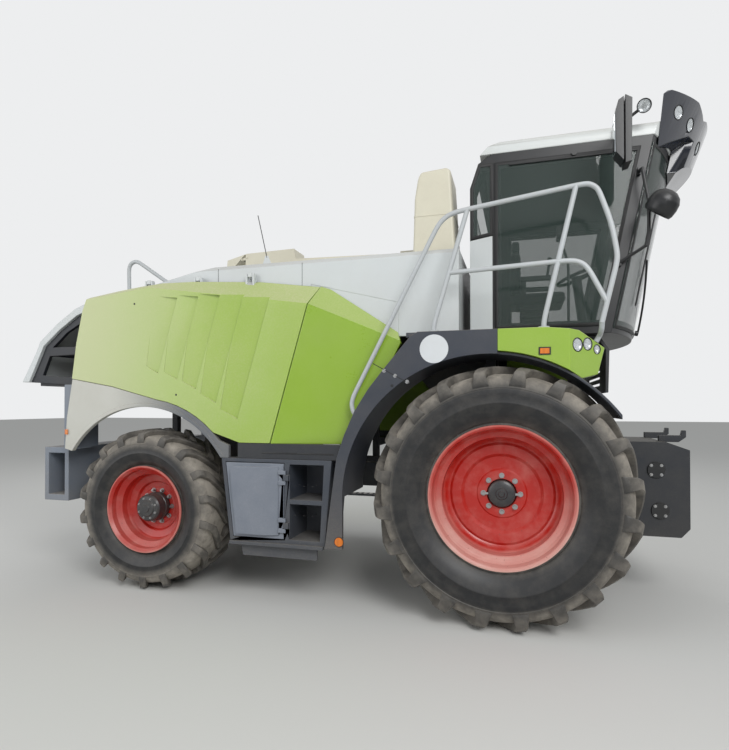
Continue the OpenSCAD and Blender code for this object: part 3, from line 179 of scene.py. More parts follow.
# mid-grey powder coat on the storage box, scuffed
boxPaint = dustyPaint("greyPowderCoat", "#3B414B", dust="#8D867B", gloss=0.42, patch=240, onTop=0.35,
    lowDown=0.25, lowFrom=0.9, peel=3)
# moulded door of the box, lighter than its frame
boxDoorSkin = dustyPaint("greyMouldedDoor", "#717884", dust="#A9ACB2", gloss=0.38, patch=320, onTop=0.4,
    lowFrom=0.9, spread=0.2, veil=0.03, peel=3)
# chassis black, matt with field dirt
darkPaint = dustyPaint("chassisPaint", "#22262D", dust="#6A655C", gloss=0.46, onTop=0.5, lowDown=0.25,
    lowFrom=1.2, spread=0.16)
axlePaint = dustyPaint("castAxlePaint", "#3E4044", dust="#857B6C", gloss=0.6, patch=180, onTop=0.5,
    lowDown=0.35, lowFrom=1.4, spread=0.3, peel=8)
# silver-grey paint on the bumper and the ladder
bumperPaint = dustyPaint("silverGreyPaint", "#79828F", gloss=0.4, onTop=0.45, lowDown=0.3, lowFrom=1.2,
    spread=0.16)
# handrail tube, painted light grey and polished by hands
railPaint = dustyPaint("railPaint", "#B9BEC1", patch=160, onTop=0.12, spread=0.14)
# roof cap of moulded plastic, very light
roofPaint = dustyPaint("roofGelcoat", "#CFD3D2", gloss=0.32, patch=500, onTop=0.35, lowDown=0.0, coat=0.15)
# textured black plastic and paint of the cab frame and the mirrors
blackPlastic = dustyPaint("texturedBlackPlastic", "#15171A", dust="#66635D", gloss=0.36, patch=300,
    spread=0.07, peel=2)
# high-gloss black moulding of the visor, which mirrors the sky
visorGloss = dustyPaint("glossBlackMoulding", "#111725", dust="#50535A", gloss=0.16, patch=400, onTop=0.12,
    lowDown=0.0, spread=0.05, coat=0.6)
rollerSteel = dustyPaint("cropPolishedSteel", "#A2A3A5", dust="#6F604C", patch=90, onTop=0.25, lowDown=0.2,
    spread=0.35, metallic=1.0)
# bolts and nuts, zinc gone dull
zinc = dustyPaint("zincPlatedSteel", "#A9ABAD", gloss=0.36, patch=60, lowDown=0.15, spread=0.2, metallic=1.0)
# cast hub drives in dark enamel with a greasy shine
hubEnamel = dustyPaint("darkHubEnamel", "#24262B", dust="#6A655C", gloss=0.33, patch=80, lowDown=0.15,
    spread=0.2, coat=0.2)
# extruded rubber round the panes and between panels
sealRubber = dustyPaint("sealRubber", "#101113", dust="#55524C", gloss=0.6, patch=120)
# retro-white film of the blank disc
whiteFilm = dustyPaint("whiteSignFilm", "#D5D9DC", dust="#A9A69E", gloss=0.35, patch=90, onTop=0.1,
    lowDown=0.0)


# Wheel materials follow the distance from the wheel's own axis, so each axle has its pair
def wheelRadius(mat, coord, centre):
    flat = addNode(mat, "Mapping", {"Location": (-centre[0], 0, -centre[1]), "Scale": (1, 0, 1),
        "Vector": coord["Object"]})
    return addNode(mat, "VectorMath", {"operation": "LENGTH", 0: flat[0]})["Value"]


# Carbon-black rubber: deep satin on the wall, pale soil left in the pockets between the lugs, less on the
# lugs
def tyreRubber(name, centre, radius, seat, soiled, least):
    mat, coord = newMaterial(name)
    far = wheelRadius(mat, coord, centre)
    cloud = addNode(mat, "TexNoise", {"Scale": perMm(120), "Detail": 7.0, "Roughness": 0.65,
        "Vector": coord["Object"]})
    grit = addNode(mat, "TexNoise", {"Scale": perMm(9), "Detail": 4.0, "Vector": coord["Object"]})
    tread = addNode(mat, "MapRange", {"From": (radius - 0.19, radius - 0.05), "To": (0, soiled), 0: far})
    bead = addNode(mat, "MapRange", {"From": (seat + 0.09, seat + 0.01), "To": (0, 0.26), 0: far})
    zone = addNode(mat, "Math", {"operation": "ADD", 0: tread[0], 1: bead[0]})
    patches = addNode(mat, "MapRange", {"From": (0.4, 0.68), "To": (least, 1.1), 0: cloud[0]})
    veil = addNode(mat, "MapRange", {"From": (0.42, 0.75), "To": (0, 0.08), 0: cloud[0]})
    soil = addNode(mat, "Math", {"operation": "MULTIPLY_ADD", "use_clamp": True, 0: zone[0], 1: patches[0],
        2: veil[0]})
    base = addNode(mat, "MixRGB", {"Color1": "#191A1C", "Color2": "#A39C91", "Fac": soil[0]})
    rough = addNode(mat, "MapRange", {"To": (0.44, 0.95), 0: soil[0]})
    # moulded rings on the wall, 13 mm apart
    rings = addNode(mat, "Math", {"operation": "MULTIPLY", 1: 2 * math.pi / 0.013, 0: far})
    wave = addNode(mat, "Math", {"operation": "SINE", 0: rings[0]})
    wall = addNode(mat, "MapRange", {"From": (seat + 0.1, seat + 0.05), "To": (0, 0.3), 0: far})
    shallow = addNode(mat, "Math", {"operation": "MULTIPLY", 0: wave[0], 1: wall[0]})
    relief = addNode(mat, "Math", {"operation": "ADD", 0: shallow[0], 1: grit[0]})
    bump = addNode(mat, "Bump", {"Strength": 0.3, "Distance": 0.002, "Height": relief[0]})
    return shader(mat, {"IOR": 1.52, "Base Color": base[0], "Roughness": rough[0], "Normal": bump[0]})


# Red oven-baked enamel on pressed steel: clean red on the disc, faded pink with dust on the bucket and flange
def rimEnamel(name, centre, seat, dusty):
    mat, coord = newMaterial(name)
    far = wheelRadius(mat, coord, centre)
    cloud = addNode(mat, "TexNoise", {"Scale": perMm(170), "Detail": 6.0, "Roughness": 0.6,
        "Vector": coord["Object"]})
    drops = addNode(mat, "TexNoise", {"Scale": perMm(18), "Detail": 4.0, "Vector": coord["Object"]})
    height = addNode(mat, "SeparateXYZ", {0: coord["Object"]})
    # dust rests on the lower half of the bucket
    low = addNode(mat, "MapRange", {"From": (centre[1] + 0.2, centre[1] - 0.35), "To": (0, dusty),
        0: height[2]})
    bucket = addNode(mat, "MapRange", {"From": (seat - 0.09, seat - 0.06), 0: far})
    rest = addNode(mat, "Math", {"operation": "MULTIPLY", 0: low[0], 1: bucket[0]})
    edge = addNode(mat, "MapRange", {"From": (seat + 0.005, seat + 0.022), "To": (0, 0.3), 0: far})
    patches = addNode(mat, "MapRange", {"From": (0.45, 0.75), "To": (0, 0.22), 0: cloud[0]})
    sum1 = addNode(mat, "Math", {"operation": "ADD", 0: edge[0], 1: patches[0]})
    dust = addNode(mat, "Math", {"operation": "ADD", "use_clamp": True, 0: sum1[0], 1: rest[0]})
    splash = addNode(mat, "MapRange", {"From": (0.68, 0.72), "To": (0, 0.5), 0: drops[0]})
    red = addNode(mat, "MixRGB", {"Color1": "#B21D12", "Color2": "#D6A79C", "Fac": dust[0]})
    base = addNode(mat, "MixRGB", {"Color2": "#6B4438", "Fac": splash[0], "Color1": red[0]})
    rough = addNode(mat, "MapRange", {"To": (0.3, 0.8), 0: dust[0]})
    bump = addNode(mat, "Bump", {"Strength": 0.08, "Distance": 0.002, "Height": drops[0]})
    return shader(mat, {"IOR": 1.5, "Coat Weight": 0.2, "Coat Roughness": 0.2, "Base Color": base[0],
        "Roughness": rough[0], "Normal": bump[0]})


# Tinted safety glass: green-grey, with a wiped film of dust
def tintedGlass(name, tint, clear):
    mat, coord = newMaterial(name)
    film = addNode(mat, "TexNoise", {"Scale": perMm(350), "Detail": 5.0, "Vector": coord["Object"]})
    haze = addNode(mat, "MapRange", {"From": (0.4, 0.75), "To": (0.02, 0.12), 0: film[0]})
    tone = addNode(mat, "MixRGB", {"Color1": tint, "Color2": "#59615E", "Fac": haze[0]})
    return shader(mat, {"IOR": 1.5, "Alpha": 1 - clear, "Roughness": haze[0], "Base Color": tone[0]})


# Woven seat cloth, threads drawn at 4 mm so that they show
def seatCloth(name, colour):
    mat, coord = newMaterial(name)
    weave = addNode(mat, "TexVoronoi", {"Scale": perMm(4), "Vector": coord["Object"]})
    shade = addNode(mat, "MapRange", {"To": (1.15, 0.8), 0: weave[0]})
    base = addNode(mat, "HueSaturation", {"Color": colour, "Value": shade[0]})
    bump = addNode(mat, "Bump", {"Strength": 0.4, "Distance": 0.002, "Height": weave[0]})
    return shader(mat, {"Roughness": 0.95, "Sheen Weight": 0.3, "Base Color": base[0], "Normal": bump[0]})


# Moulded lens or plated bowl: a smooth skin whose ribs, 6 mm apart, break up the shine
def lensSkin(name, colour, look, ribs):
    mat, coord = newMaterial(name)
    wave = addNode(mat, "TexWave", {"Scale": perMm(6) / 20, "Distortion": 0.0, "Vector": coord["Object"]})
    tone = addNode(mat, "MapRange", {"To": (0.92, 1.05), 0: wave["Fac"]})
    base = addNode(mat, "HueSaturation", {"Color": colour, "Value": tone[0]})
    bump = addNode(mat, "Bump", {"Strength": ribs, "Distance": 0.002, "Height": wave["Fac"]})
    return shader(mat, {**look, "Base Color": base[0], "Normal": bump[0]})


frontTyre = tyreRubber("frontTyreRubber", (1.57, 1.015), 1.015, 0.533, 1.2, 0.55)
frontLugs = tyreRubber("frontLugRubber", (1.57, 1.015), 1.015, 0.533, 0.42, 0.5)
rearTyre = tyreRubber("rearTyreRubber", (-1.68, 0.75), 0.75, 0.381, 1.2, 0.55)
rearLugs = tyreRubber("rearLugRubber", (-1.68, 0.75), 0.75, 0.381, 0.42, 0.5)
frontRim = rimEnamel("frontRimEnamel", (1.57, 1.015), 0.533, 0.7)
rearRim = rimEnamel("rearRimEnamel", (-1.68, 0.75), 0.381, 0.2)
paneGlass = tintedGlass("tintedPane", "#46534F", 0.62)
cloth = seatCloth("seatCloth", "#2B2C30")
# polycarbonate over the lamps, clear amber and red acrylic, aluminium-plated bowls, silvered mirror glass
lampGlass = lensSkin("lampPolycarbonate", "#E3E8EA", {"Roughness": 0.06, "Alpha": 0.3, "IOR": 1.58}, 0.3)
amberLens = lensSkin("amberAcrylic", "#D9751A", {"Roughness": 0.18, "Coat Weight": 0.5, "IOR": 1.49}, 0.3)
redLens = lensSkin("redAcrylic", "#8E1512", {"Roughness": 0.18, "Coat Weight": 0.5, "IOR": 1.49}, 0.3)
platedBowl = lensSkin("platedBowl", "#D9DCDF", {"Roughness": 0.1, "Metallic": 1.0}, 0.1)
mirrorGlass = lensSkin("silveredMirror", "#C9CED2", {"Roughness": 0.03, "Metallic": 1.0}, 0.0)
screenGlass = lensSkin("monitorScreen", "#0E1418", {"Roughness": 0.12, "Coat Weight": 0.6, "IOR": 1.5}, 0.0)
print("materials made")

# which machine parts each finish goes on; a name that ends in an underscore stands for the right and the
# left one
dressed = (
    (darkPaint, "chassis_frame feed_housing tail_frame radiator cab_platform"), (doorPaint, "side_door_"),
    (axlePaint, "front_axle rear_axle rear_knuckle_ engine_block crop_duct"),
    (cleanGreen, "corner_panel_ lamp_pod_"), (frontRim, "front_rim_"), (rearRim, "rear_rim_"),
    (frontTyre, "front_tyre_"), (rearTyre, "rear_tyre_"),
    (rollerSteel, "feed_roller_lower feed_roller_upper"),
    (lightPaint, "upper_body tail_hood cab_rear_panels"), (archPaint, "rear_arch_"),
    (bumperPaint, "rear_bumper access_ladder"), (fenderPaint, "fender_"), (boxPaint, "storage_box"),
    (boxDoorSkin, "storage_door"), (roofPaint, "cab_roof"), (visorGloss, "cab_visor"),
    (blackPlastic, "cab_shell cab_door_left steering_console mirrors"),
    (paneGlass, "cab_windows cab_door_glass"), (cloth, "driver_seat"), (railPaint, "handrail_ rear_rail"),
    (creamPaint, "additive_tank spout_turret spout_arm spout_flap"),
)


# the node names of a list in which an underscore at the end stands for both sides
def bothSides(names):
    pairs = [[name + "right", name + "left"] if name.endswith("_") else [name] for name in names.split()]
    return [node for pair in pairs for node in pair]


finishes = {node: finish for finish, names in dressed for node in bothSides(names)}
for name, finish in finishes.items():
    mesh = nodes[name].data
    mesh.materials.clear()
    mesh.materials.append(finish)
print("parts dressed")


# a place measured from the front axle, in millimetres
def spot(x, y, z):
    return Vector((x / 1000 + frontAxle, y / 1000, z / 1000))


# a move in metres, and a turn in degrees
moved = Matrix.Translation


def turned(degrees, axis):
    return Matrix.Rotation(math.radians(degrees), 4, axis)


# z along aim, at a place
def facing(place, aim):
    return moved(place) @ Vector((0, 0, 1)).rotation_difference(Vector(aim)).to_matrix().to_4x4()


# puts a new object of this mesh or curve into the scene
def placed(name, data):
    item = bpy.data.objects.new(name, data)
    bpy.context.collection.objects.link(item)
    return item


# the mesh that an object has after its modifiers
def worked(item):
    return bpy.data.meshes.new_from_object(item.evaluated_get(bpy.context.evaluated_depsgraph_get()))


# a bmesh turned into an ordinary mesh
def meshOf(bm, name):
    mesh = bpy.data.meshes.new(name)
    bm.to_mesh(mesh)
    bm.free()
    return mesh


# cuts all of a shape along a plane and keeps both halves
def sliced(bm, place, normal):
    bmesh.ops.bisect_plane(bm, geom=bm.verts[:] + bm.edges[:] + bm.faces[:], plane_co=place, plane_no=normal)


# pulls a face out into a solid by the given step in metres
def pulled(bm, face, step):
    grown = bmesh.ops.extrude_face_region(bm, geom=[face])["geom"]
    bmesh.ops.translate(bm, verts=[v for v in grown if isinstance(v, bmesh.types.BMVert)], vec=step)


# side_door_left becomes SideDoorLeft
def titled(node):
    return "".join(word.title() for word in node.split("_"))


# Ends a piece: clean normals, one finish, hard edges kept and carried by a body
def keepPiece(bm, name, body, finish, standsFor=(), sharp=34, tidy=True, even=True):
    if tidy:
        bmesh.ops.remove_doubles(bm, verts=bm.verts, dist=0.00002)
        bmesh.ops.recalc_face_normals(bm, faces=bm.faces)
    mesh = meshOf(bm, name)
    mesh.materials.append(finish)
    mesh.polygons.foreach_set("use_smooth", [True] * len(mesh.polygons))
    mesh.set_sharp_from_angle(angle=math.radians(sharp))
    piece = placed(name, mesh)
    if even:
        weigh = piece.modifiers.new("even", "WEIGHTED_NORMAL")
        weigh.keep_sharp = True
    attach(piece, body)
    if standsFor:
        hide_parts(*standsFor)
    return piece


# copies a small shape to each place, a matrix
def stamp(bm, shape, places):
    for place in places:
        mesh = bpy.data.meshes.new("stamp")
        shape.to_mesh(mesh)
        mesh.transform(place)
        bm.from_mesh(mesh)
        bpy.data.meshes.remove(mesh)


# a closed or open (radius, along) profile turned about z
def spun(profile, steps, closed=False):
    bm = bmesh.new()
    verts = [bm.verts.new((r, 0, z)) for r, z in profile]
    edges = [bm.edges.new(pair) for pair in zip(verts, verts[1:])]
    if closed:
        edges.append(bm.edges.new((verts[-1], verts[0])))
    bmesh.ops.spin(bm, geom=verts + edges, cent=(0, 0, 0), axis=(0, 0, 1), angle=2 * math.pi, steps=steps,
        use_merge=True)
    bmesh.ops.remove_doubles(bm, verts=bm.verts, dist=0.00002)
    bmesh.ops.recalc_face_normals(bm, faces=bm.faces)
    return bm


# a turned drum from its foot outwards along aim
def addDrum(bm, place, aim, radius, length, sides=32, tip=None):
    matrix = facing(place, aim) @ moved((0, 0, length / 2))
    bmesh.ops.create_cone(bm, cap_ends=True, segments=sides, radius1=radius,
        radius2=radius if tip is None else tip, depth=length, matrix=matrix)


# a block between two corners in millimetres from the front axle, its edges rounded
def addBar(bm, low, high, edge=0.0):
    a, b = spot(*low), spot(*high)
    matrix = moved((a + b) / 2) @ Matrix.Diagonal((*[abs(n) for n in b - a], 1))
    made = bmesh.ops.create_cube(bm, size=1, matrix=matrix)["verts"]
    if edge:
        ring = {e for v in made for e in v.link_edges}
        bmesh.ops.bevel(bm, geom=list(ring), offset=edge / 1000, segments=3, profile=0.5, affect="EDGES",
            material=-1)


# a path with its corners rounded to the given bend
def rounded(points, bend, steps=5):
    path = [points[0]]
    for before, corner, after in zip(points, points[1:], points[2:]):
        start = corner + (before - corner).normalized() * min(bend, (before - corner).length * 0.45)
        end = corner + (after - corner).normalized() * min(bend, (after - corner).length * 0.45)
        for i in range(steps + 1):
            t = i / steps
            path.append(start * (1 - t) ** 2 + corner * 2 * t * (1 - t) + end * t**2)
    return path + [points[-1]]


# a round bar or hose along a path
def addPipe(bm, points, radius):
    curve = bpy.data.curves.new("pipe", "CURVE")
    curve.dimensions = "3D"
    curve.bevel_depth = radius
    curve.bevel_resolution = 4
    curve.use_fill_caps = True
    line = curve.splines.new("POLY")
    line.points.add(len(points) - 1)
    for point, place in zip(line.points, points):
        point.co = (*place, 1)
    holder = placed("pipe", curve)
    mesh = worked(holder)
    bm.from_mesh(mesh)
    bpy.data.objects.remove(holder)
    bpy.data.curves.remove(curve)
    bpy.data.meshes.remove(mesh)


# a hexagon nut on its washer, standing on z
def hexNut(across, height):
    bm = bmesh.new()
    addDrum(bm, (0, 0, 0), (0, 0, 1), across * 1.35, height * 0.22, 20)
    addDrum(bm, (0, 0, height * 0.22), (0, 0, 1), across, height, 6, across * 0.93)
    addDrum(bm, (0, 0, height * 1.22), (0, 0, 1), across * 0.55, height * 0.35, 12, across * 0.5)
    return bm


# metres, but the profiles (radius, distance outwards) are in millimetres
wheels = {
    "front": {
        "axleX": 0, "radius": 1.015, "middle": 1.22, "half": 0.355, "seat": 0.5337, "lug": 0.058, "lugs": 20,
        "tyre": frontTyre, "lugFinish": frontLugs, "rim": frontRim, "nuts": 8, "nutCircle": 0.145,
        "nutFoot": 0.034,
        "lugOutline": ((-0.51, 0.01), (-0.27, 0.01), (0.42, 0.62), (0.6, 1.0), (0.68, 1.3), (0.28, 1.3),
            (0.33, 1.0), (0.16, 0.66)),
        "rimProfile": ((115, 28), (120, 34), (188, 34), (200, 26), (298, 28), (322, 50), (352, 54),
            (392, 56), (412, 44), (428, 52), (446, 75), (458, 94), (462, 184), (500, 196), (520, 218),
            (521, 262), (530, 283), (544, 291.8), (555.5, 291.8), (558.4, 287), (558.4, 278), (533.4, 270),
            (533.4, 214), (474, 184), (471, -184), (533.4, -214), (533.4, -270), (558.4, -278),
            (558.4, -291.8), (544.4, -291.8), (522.4, -274), (520.4, -218), (458.4, -184), (458.4, 6),
            (150, 16), (150, -50), (115, -50)),
        "hubProfile": ((0, 88), (20, 88), (26, 82), (42, 80), (48, 74), (88, 72), (104, 62), (108.5, 50),
            (108.5, 12), (0, 12)),
    },
    "rear": {
        "axleX": -3250, "radius": 0.75, "middle": 1.17, "half": 0.3, "seat": 0.3813, "lug": 0.048,
        "lugs": 18, "tyre": rearTyre, "lugFinish": rearLugs, "rim": rearRim, "nuts": 10, "nutCircle": 0.155,
        "nutFoot": 0.046,
        "lugOutline": ((-0.51, 0.01), (-0.27, 0.01), (0.42, 0.62), (0.6, 1.0), (0.64, 1.3), (0.34, 1.3),
            (0.36, 1.0), (0.16, 0.66)),
        "rimProfile": ((128, 40), (132, 46), (172, 46), (182, 40), (224, 42), (240, 64), (262, 68),
            (300, 78), (316, 100), (321, 164), (366, 198), (370, 250), (392, 272), (403, 272), (406, 266),
            (406, 258), (381, 250), (381, 194), (334, 164), (331, -164), (381, -194), (381, -250),
            (406, -258), (406, -272), (392, -272), (370, -254), (368, -198), (318, -164), (318, 16),
            (150, 26), (150, -40), (128, -40)),
        "hubProfile": ((0, 236), (30, 236), (36, 228), (70, 226), (78, 216), (112, 212), (126, 196),
            (128, 160), (130, 110), (136, 104), (136, 60), (128, 52), (126, 30), (0, 30)),
    },
}


# wheel space (axis z, outboard positive) to its place on the machine
def wheelPlace(wheel, side):
    place = moved(spot(wheel["axleX"], -wheel["middle"] * 1000, wheel["radius"] * 1000))
    place = place @ turned(90, "X")
    return place if side == "right" else Matrix.Scale(-1, 4, (0, 1, 0)) @ place


# half of the carcass as shares of its rise and half width, bead to crown
carcass = ((0, 0.72), (0, 0.765), (0.035, 0.79), (0.085, 0.79), (0.1, 0.775), (0.115, 0.8), (0.25, 0.896),
    (0.35, 0.955), (0.44, 0.984), (0.452, 0.99), (0.47, 0.99), (0.482, 0.985), (0.605, 0.998), (0.66, 0.997),
    (0.72, 0.986), (0.728, 0.993), (0.752, 0.988), (0.762, 0.975), (0.82, 0.95), (0.877, 0.915),
    (0.92, 0.866), (0.948, 0.817), (0.972, 0.7), (0.988, 0.563), (0.997, 0.3), (1, 0))
# where a lug's crown runs (below the tread in lug heights, share of the half width) and where its root sits
lugCrown = ((0, 0), (0.02, 0.35), (0.06, 0.62), (0.14, 0.76), (0.28, 0.86), (0.48, 0.925), (0.8, 0.968),
    (1.25, 0.988), (1.7, 0.996), (2.2, 0.996), (2.75, 0.988))
lugRoot = ((1.2, 0), (1.2, 0.34), (1.25, 0.58), (1.35, 0.7), (1.5, 0.78), (1.7, 0.83), (2.0, 0.87),
    (2.3, 0.9), (2.6, 0.925), (2.9, 0.94), (3.2, 0.95))


# spacing of the cuts as shares of the half width, the upright part of the lug's wall and the slope above it
lugLook = {"across": 0.09, "along": 0.22, "wall": 0.82, "slope": 0.009}


# One tyre lug: its outline cut into small strips, raised with a sloped edge, then bent over the shoulder
def makeLug(wheel):
    bm = bmesh.new()
    half = wheel["half"]
    bm.faces.new([bm.verts.new((t * half, s * half, 0)) for t, s in wheel["lugOutline"]])
    for k in range(1, 15):
        sliced(bm, (0, lugLook["across"] * k * half, 0), (0, 1, 0))
    for k in range(-2, 3):
        sliced(bm, (lugLook["along"] * k * half, 0, 0), (1, 0, 0))
    raised = bmesh.ops.extrude_face_region(bm, geom=bm.faces[:])
    top = [f for f in raised["geom"] if isinstance(f, bmesh.types.BMFace)]
    bmesh.ops.translate(bm, verts=list({v for f in top for v in f.verts}), vec=(0, 0, lugLook["wall"]))
    bmesh.ops.inset_region(bm, faces=top, thickness=lugLook["slope"], depth=1 - lugLook["wall"],
        use_even_offset=True)
    crown = [Vector((half * b, wheel["radius"] - wheel["lug"] * a)) for a, b in lugCrown]
    root = [Vector((half * b, wheel["radius"] - wheel["lug"] * a)) for a, b in lugRoot]
    along = [0]
    for a, b in zip(crown, crown[1:]):
        along.append(along[-1] + (b - a).length)
    for vert in bm.verts:
        s = min(max(vert.co.y, 0), along[-1] - 1e-6)
        k = next(i for i in range(len(along) - 1) if along[i + 1] > s)
        t = (s - along[k]) / (along[k + 1] - along[k])
        high, deep = crown[k].lerp(crown[k + 1], t), root[k].lerp(root[k + 1], t)
        across, far = deep.lerp(high, min(vert.co.z, 1))
        angle = vert.co.x / wheel["radius"]
        vert.co = (far * math.cos(angle), far * math.sin(angle), across)
    return bm


tyreLook = {"steps": 144, "sharp": 28}
rimLook = {"steps": 128, "hubSteps": 64, "sharp": 26}
for axle, wheel in wheels.items():
    rise = wheel["radius"] - wheel["lug"] - wheel["seat"]
    section = [(wheel["seat"] + rise * a, wheel["half"] * b) for a, b in carcass]
    section += [(r, -z) for r, z in reversed(section[:-1])]
    tyre = spun(section, tyreLook["steps"], closed=True)
    lug = makeLug(wheel)
    pitch = 360 / wheel["lugs"]
    flip = Matrix.Scale(-1, 4, (0, 0, 1))
    turns = [turned(pitch * i, "Z") for i in range(wheel["lugs"])]
    lugs = bmesh.new()
    stamp(lugs, lug, turns)
    stamp(lugs, lug, [turn @ turned(pitch / 2, "Z") @ flip for turn in turns])
    rim, hub = [[(r / 1000, z / 1000) for r, z in wheel[key]] for key in ("rimProfile", "hubProfile")]
    rim, hub = spun(rim, rimLook["steps"], closed=True), spun(hub, rimLook["hubSteps"])
    nuts = bmesh.new()
    ring = [turned(360 * i / wheel["nuts"], "Z") for i in range(wheel["nuts"])]
    lift = moved((wheel["nutCircle"], 0, wheel["nutFoot"]))
    stamp(nuts, hexNut(0.016, 0.022), [turn @ lift for turn in ring])
    if axle == "rear":
        # cover bolts on the planetary hub
        lift = moved((0.095, 0, 0.213))
        small = [turned((i + 0.5) * 45, "Z") @ lift for i in range(8)]
        stamp(nuts, hexNut(0.008, 0.009), small)
    else:
        # two short bars that lock the cap
        for sign in (-1, 1):
            bar = moved((sign * 0.115, 0, 0.05)) @ Matrix.Diagonal((0.05, 0.016, 0.014, 1))
            bmesh.ops.create_cube(nuts, size=1, matrix=bar)
    for side in ("right", "left"):
        place = wheelPlace(wheel, side)
        parts = (("Tyre", tyre, wheel["tyre"], "tyre", (f"{axle}_tyre_{side}",), tyreLook["sharp"]),
            ("Lugs", lugs, wheel["lugFinish"], "tyre", (), tyreLook["sharp"]),
            ("Rim", rim, wheel["rim"], "red_rim_paint", (f"{axle}_rim_{side}",), rimLook["sharp"]),
            ("Hub", hub, hubEnamel, "dark_paint", (), 30), ("Nuts", nuts, zinc, "roller_steel", (), 30))
        for label, shape, finish, slotName, standsFor, sharp in parts:
            copy = bmesh.new()
            stamp(copy, shape, [place])
            keepPiece(copy, f"{axle}{label}{side.title()}", f"{axle}_wheel_{side}", finish,
                standsFor, sharp, tidy=label != "Lugs", even=label == "Rim")
    print(f"{axle} wheels made")


# degrees below which faces are one and above which an edge is rounded; shortest edge in roundings
softLook = {"flat": 1.5, "turn": 28, "shortest": 5}


# The machine part's own shape with its sharp edges rounded; shorter edges stay as they are
def softened(node, width):
    bm = bmesh.new()
    bm.from_mesh(nodes[node].data)
    bmesh.ops.remove_doubles(bm, verts=bm.verts, dist=0.0001)
    flat, turn = math.radians(softLook["flat"]), math.radians(softLook["turn"])
    bmesh.ops.dissolve_limit(bm, angle_limit=flat, verts=bm.verts, edges=bm.edges)
    edges = [e for e in bm.edges if e.is_manifold and e.calc_length() > softLook["shortest"] * width
        and e.calc_face_angle(0) > turn]
    bmesh.ops.bevel(bm, geom=edges, offset=width, offset_type="OFFSET", segments=2, profile=0.5,
        affect="EDGES", clamp_overlap=False, material=-1)
    return bm


# takes the cutters' shapes out of bm
def carved(bm, cutters):
    holders = [placed("cut", meshOf(shape, "cut")) for shape in (bm, cutters)]
    cut = holders[0].modifiers.new("cut", "BOOLEAN")
    cut.operation = "DIFFERENCE"
    cut.solver = "EXACT"
    cut.object = holders[1]
    result = bmesh.new()
    result.from_mesh(worked(holders[0]))
    for holder in holders:
        bpy.data.objects.remove(holder)
    return result


# lamps: each a place whose z looks outwards, and a radius; (turn, drop) are those under the visor's curve
lamps = {
    "pods": {"along": ((80, 2175, 0.05), (185, 2185, 0.046), (285, 2150, 0.035))},
    "visor": {"radius": 0.054, "drops": ((44, -230), (34.5, -226), (19, -253)), "top": (1790, 0, 4185),
        "lean": 20, "curve": 1.25, "inset": 0.03},
    "pocketDeep": 0.028, "pocketLong": 0.14, "play": 0.004, "bowlDeep": 0.022,
}
podLamps = {}
for side, sign in (("right", -1), ("left", 1)):
    podLamps[f"lamp_pod_{side}"] = [
        (facing(spot(500 + 0.733 * p, sign * (1500 - 0.68 * p), z), (0.68, 0.733 * sign, 0)), r)
        for p, z, r in lamps["pods"]["along"]]
visorLamps = []
visor = lamps["visor"]
for turn, drop in visor["drops"]:
    for sign in (-1, 1):
        lean = moved(spot(*visor["top"])) @ turned(visor["lean"], "Y")
        lean = lean @ moved((-visor["curve"], 0, 0)) @ turned(sign * turn, "Z")
        lean = lean @ moved((visor["curve"] - visor["inset"], 0, drop / 1000))
        lean = lean @ turned(90, "Y") @ moved((0, 0, visor["inset"]))
        visorLamps.append((lean, visor["radius"]))
lampPlaces = {**podLamps, "cab_visor": visorLamps}

# softened skins: width of the rounding in millimetres, in the order in which they are made
rounding = (
    (2.5, "side_door_"), (5, "corner_panel_ rear_arch_"), (6, "upper_body tail_hood"), (8, "cab_roof"),
    (4, "fender_"), (5, "lamp_pod_"), (3, "storage_box"), (4, "storage_door cab_shell cab_rear_panels"),
    (5, "cab_visor"), (4, "cab_platform"), (5, "rear_bumper"),
    (3, "feed_housing chassis_frame tail_frame mirrors"), (4, "cab_door_left"), (2, "access_ladder"),
    (3, "spout_turret spout_arm"), (2, "spout_flap"),
)
skins = {node: width / 1000 for width, names in rounding for node in bothSides(names)}
# where a side door's hinge plates begin: height, and distance from the middle of the machine
hingePlates = {"above": 2.83, "inside": 1.318}
for node, width in skins.items():
    bm = softened(node, width)
    if node in lampPlaces:
        pockets = bmesh.new()
        for place, radius in lampPlaces[node]:
            foot = place @ moved((0, 0, lamps["pocketLong"] / 2 - lamps["pocketDeep"]))
            bmesh.ops.create_cone(pockets, cap_ends=True, segments=40, radius1=radius + lamps["play"],
                radius2=radius + lamps["play"], depth=lamps["pocketLong"], matrix=foot)
        bm = carved(bm, pockets)
    skin = keepPiece(bm, "skin" + titled(node), bodyOf[node], finishes[node], (node,),
        tidy=False)
    if node.startswith("side_door"):
        # its hinge plates are in the deck's white
        skin.data.materials.append(lightPaint)
        for face in skin.data.polygons:
            if face.center.z > hingePlates["above"] and abs(face.center.y) < hingePlates["inside"]:
                face.material_index = 1
print("skins softened")

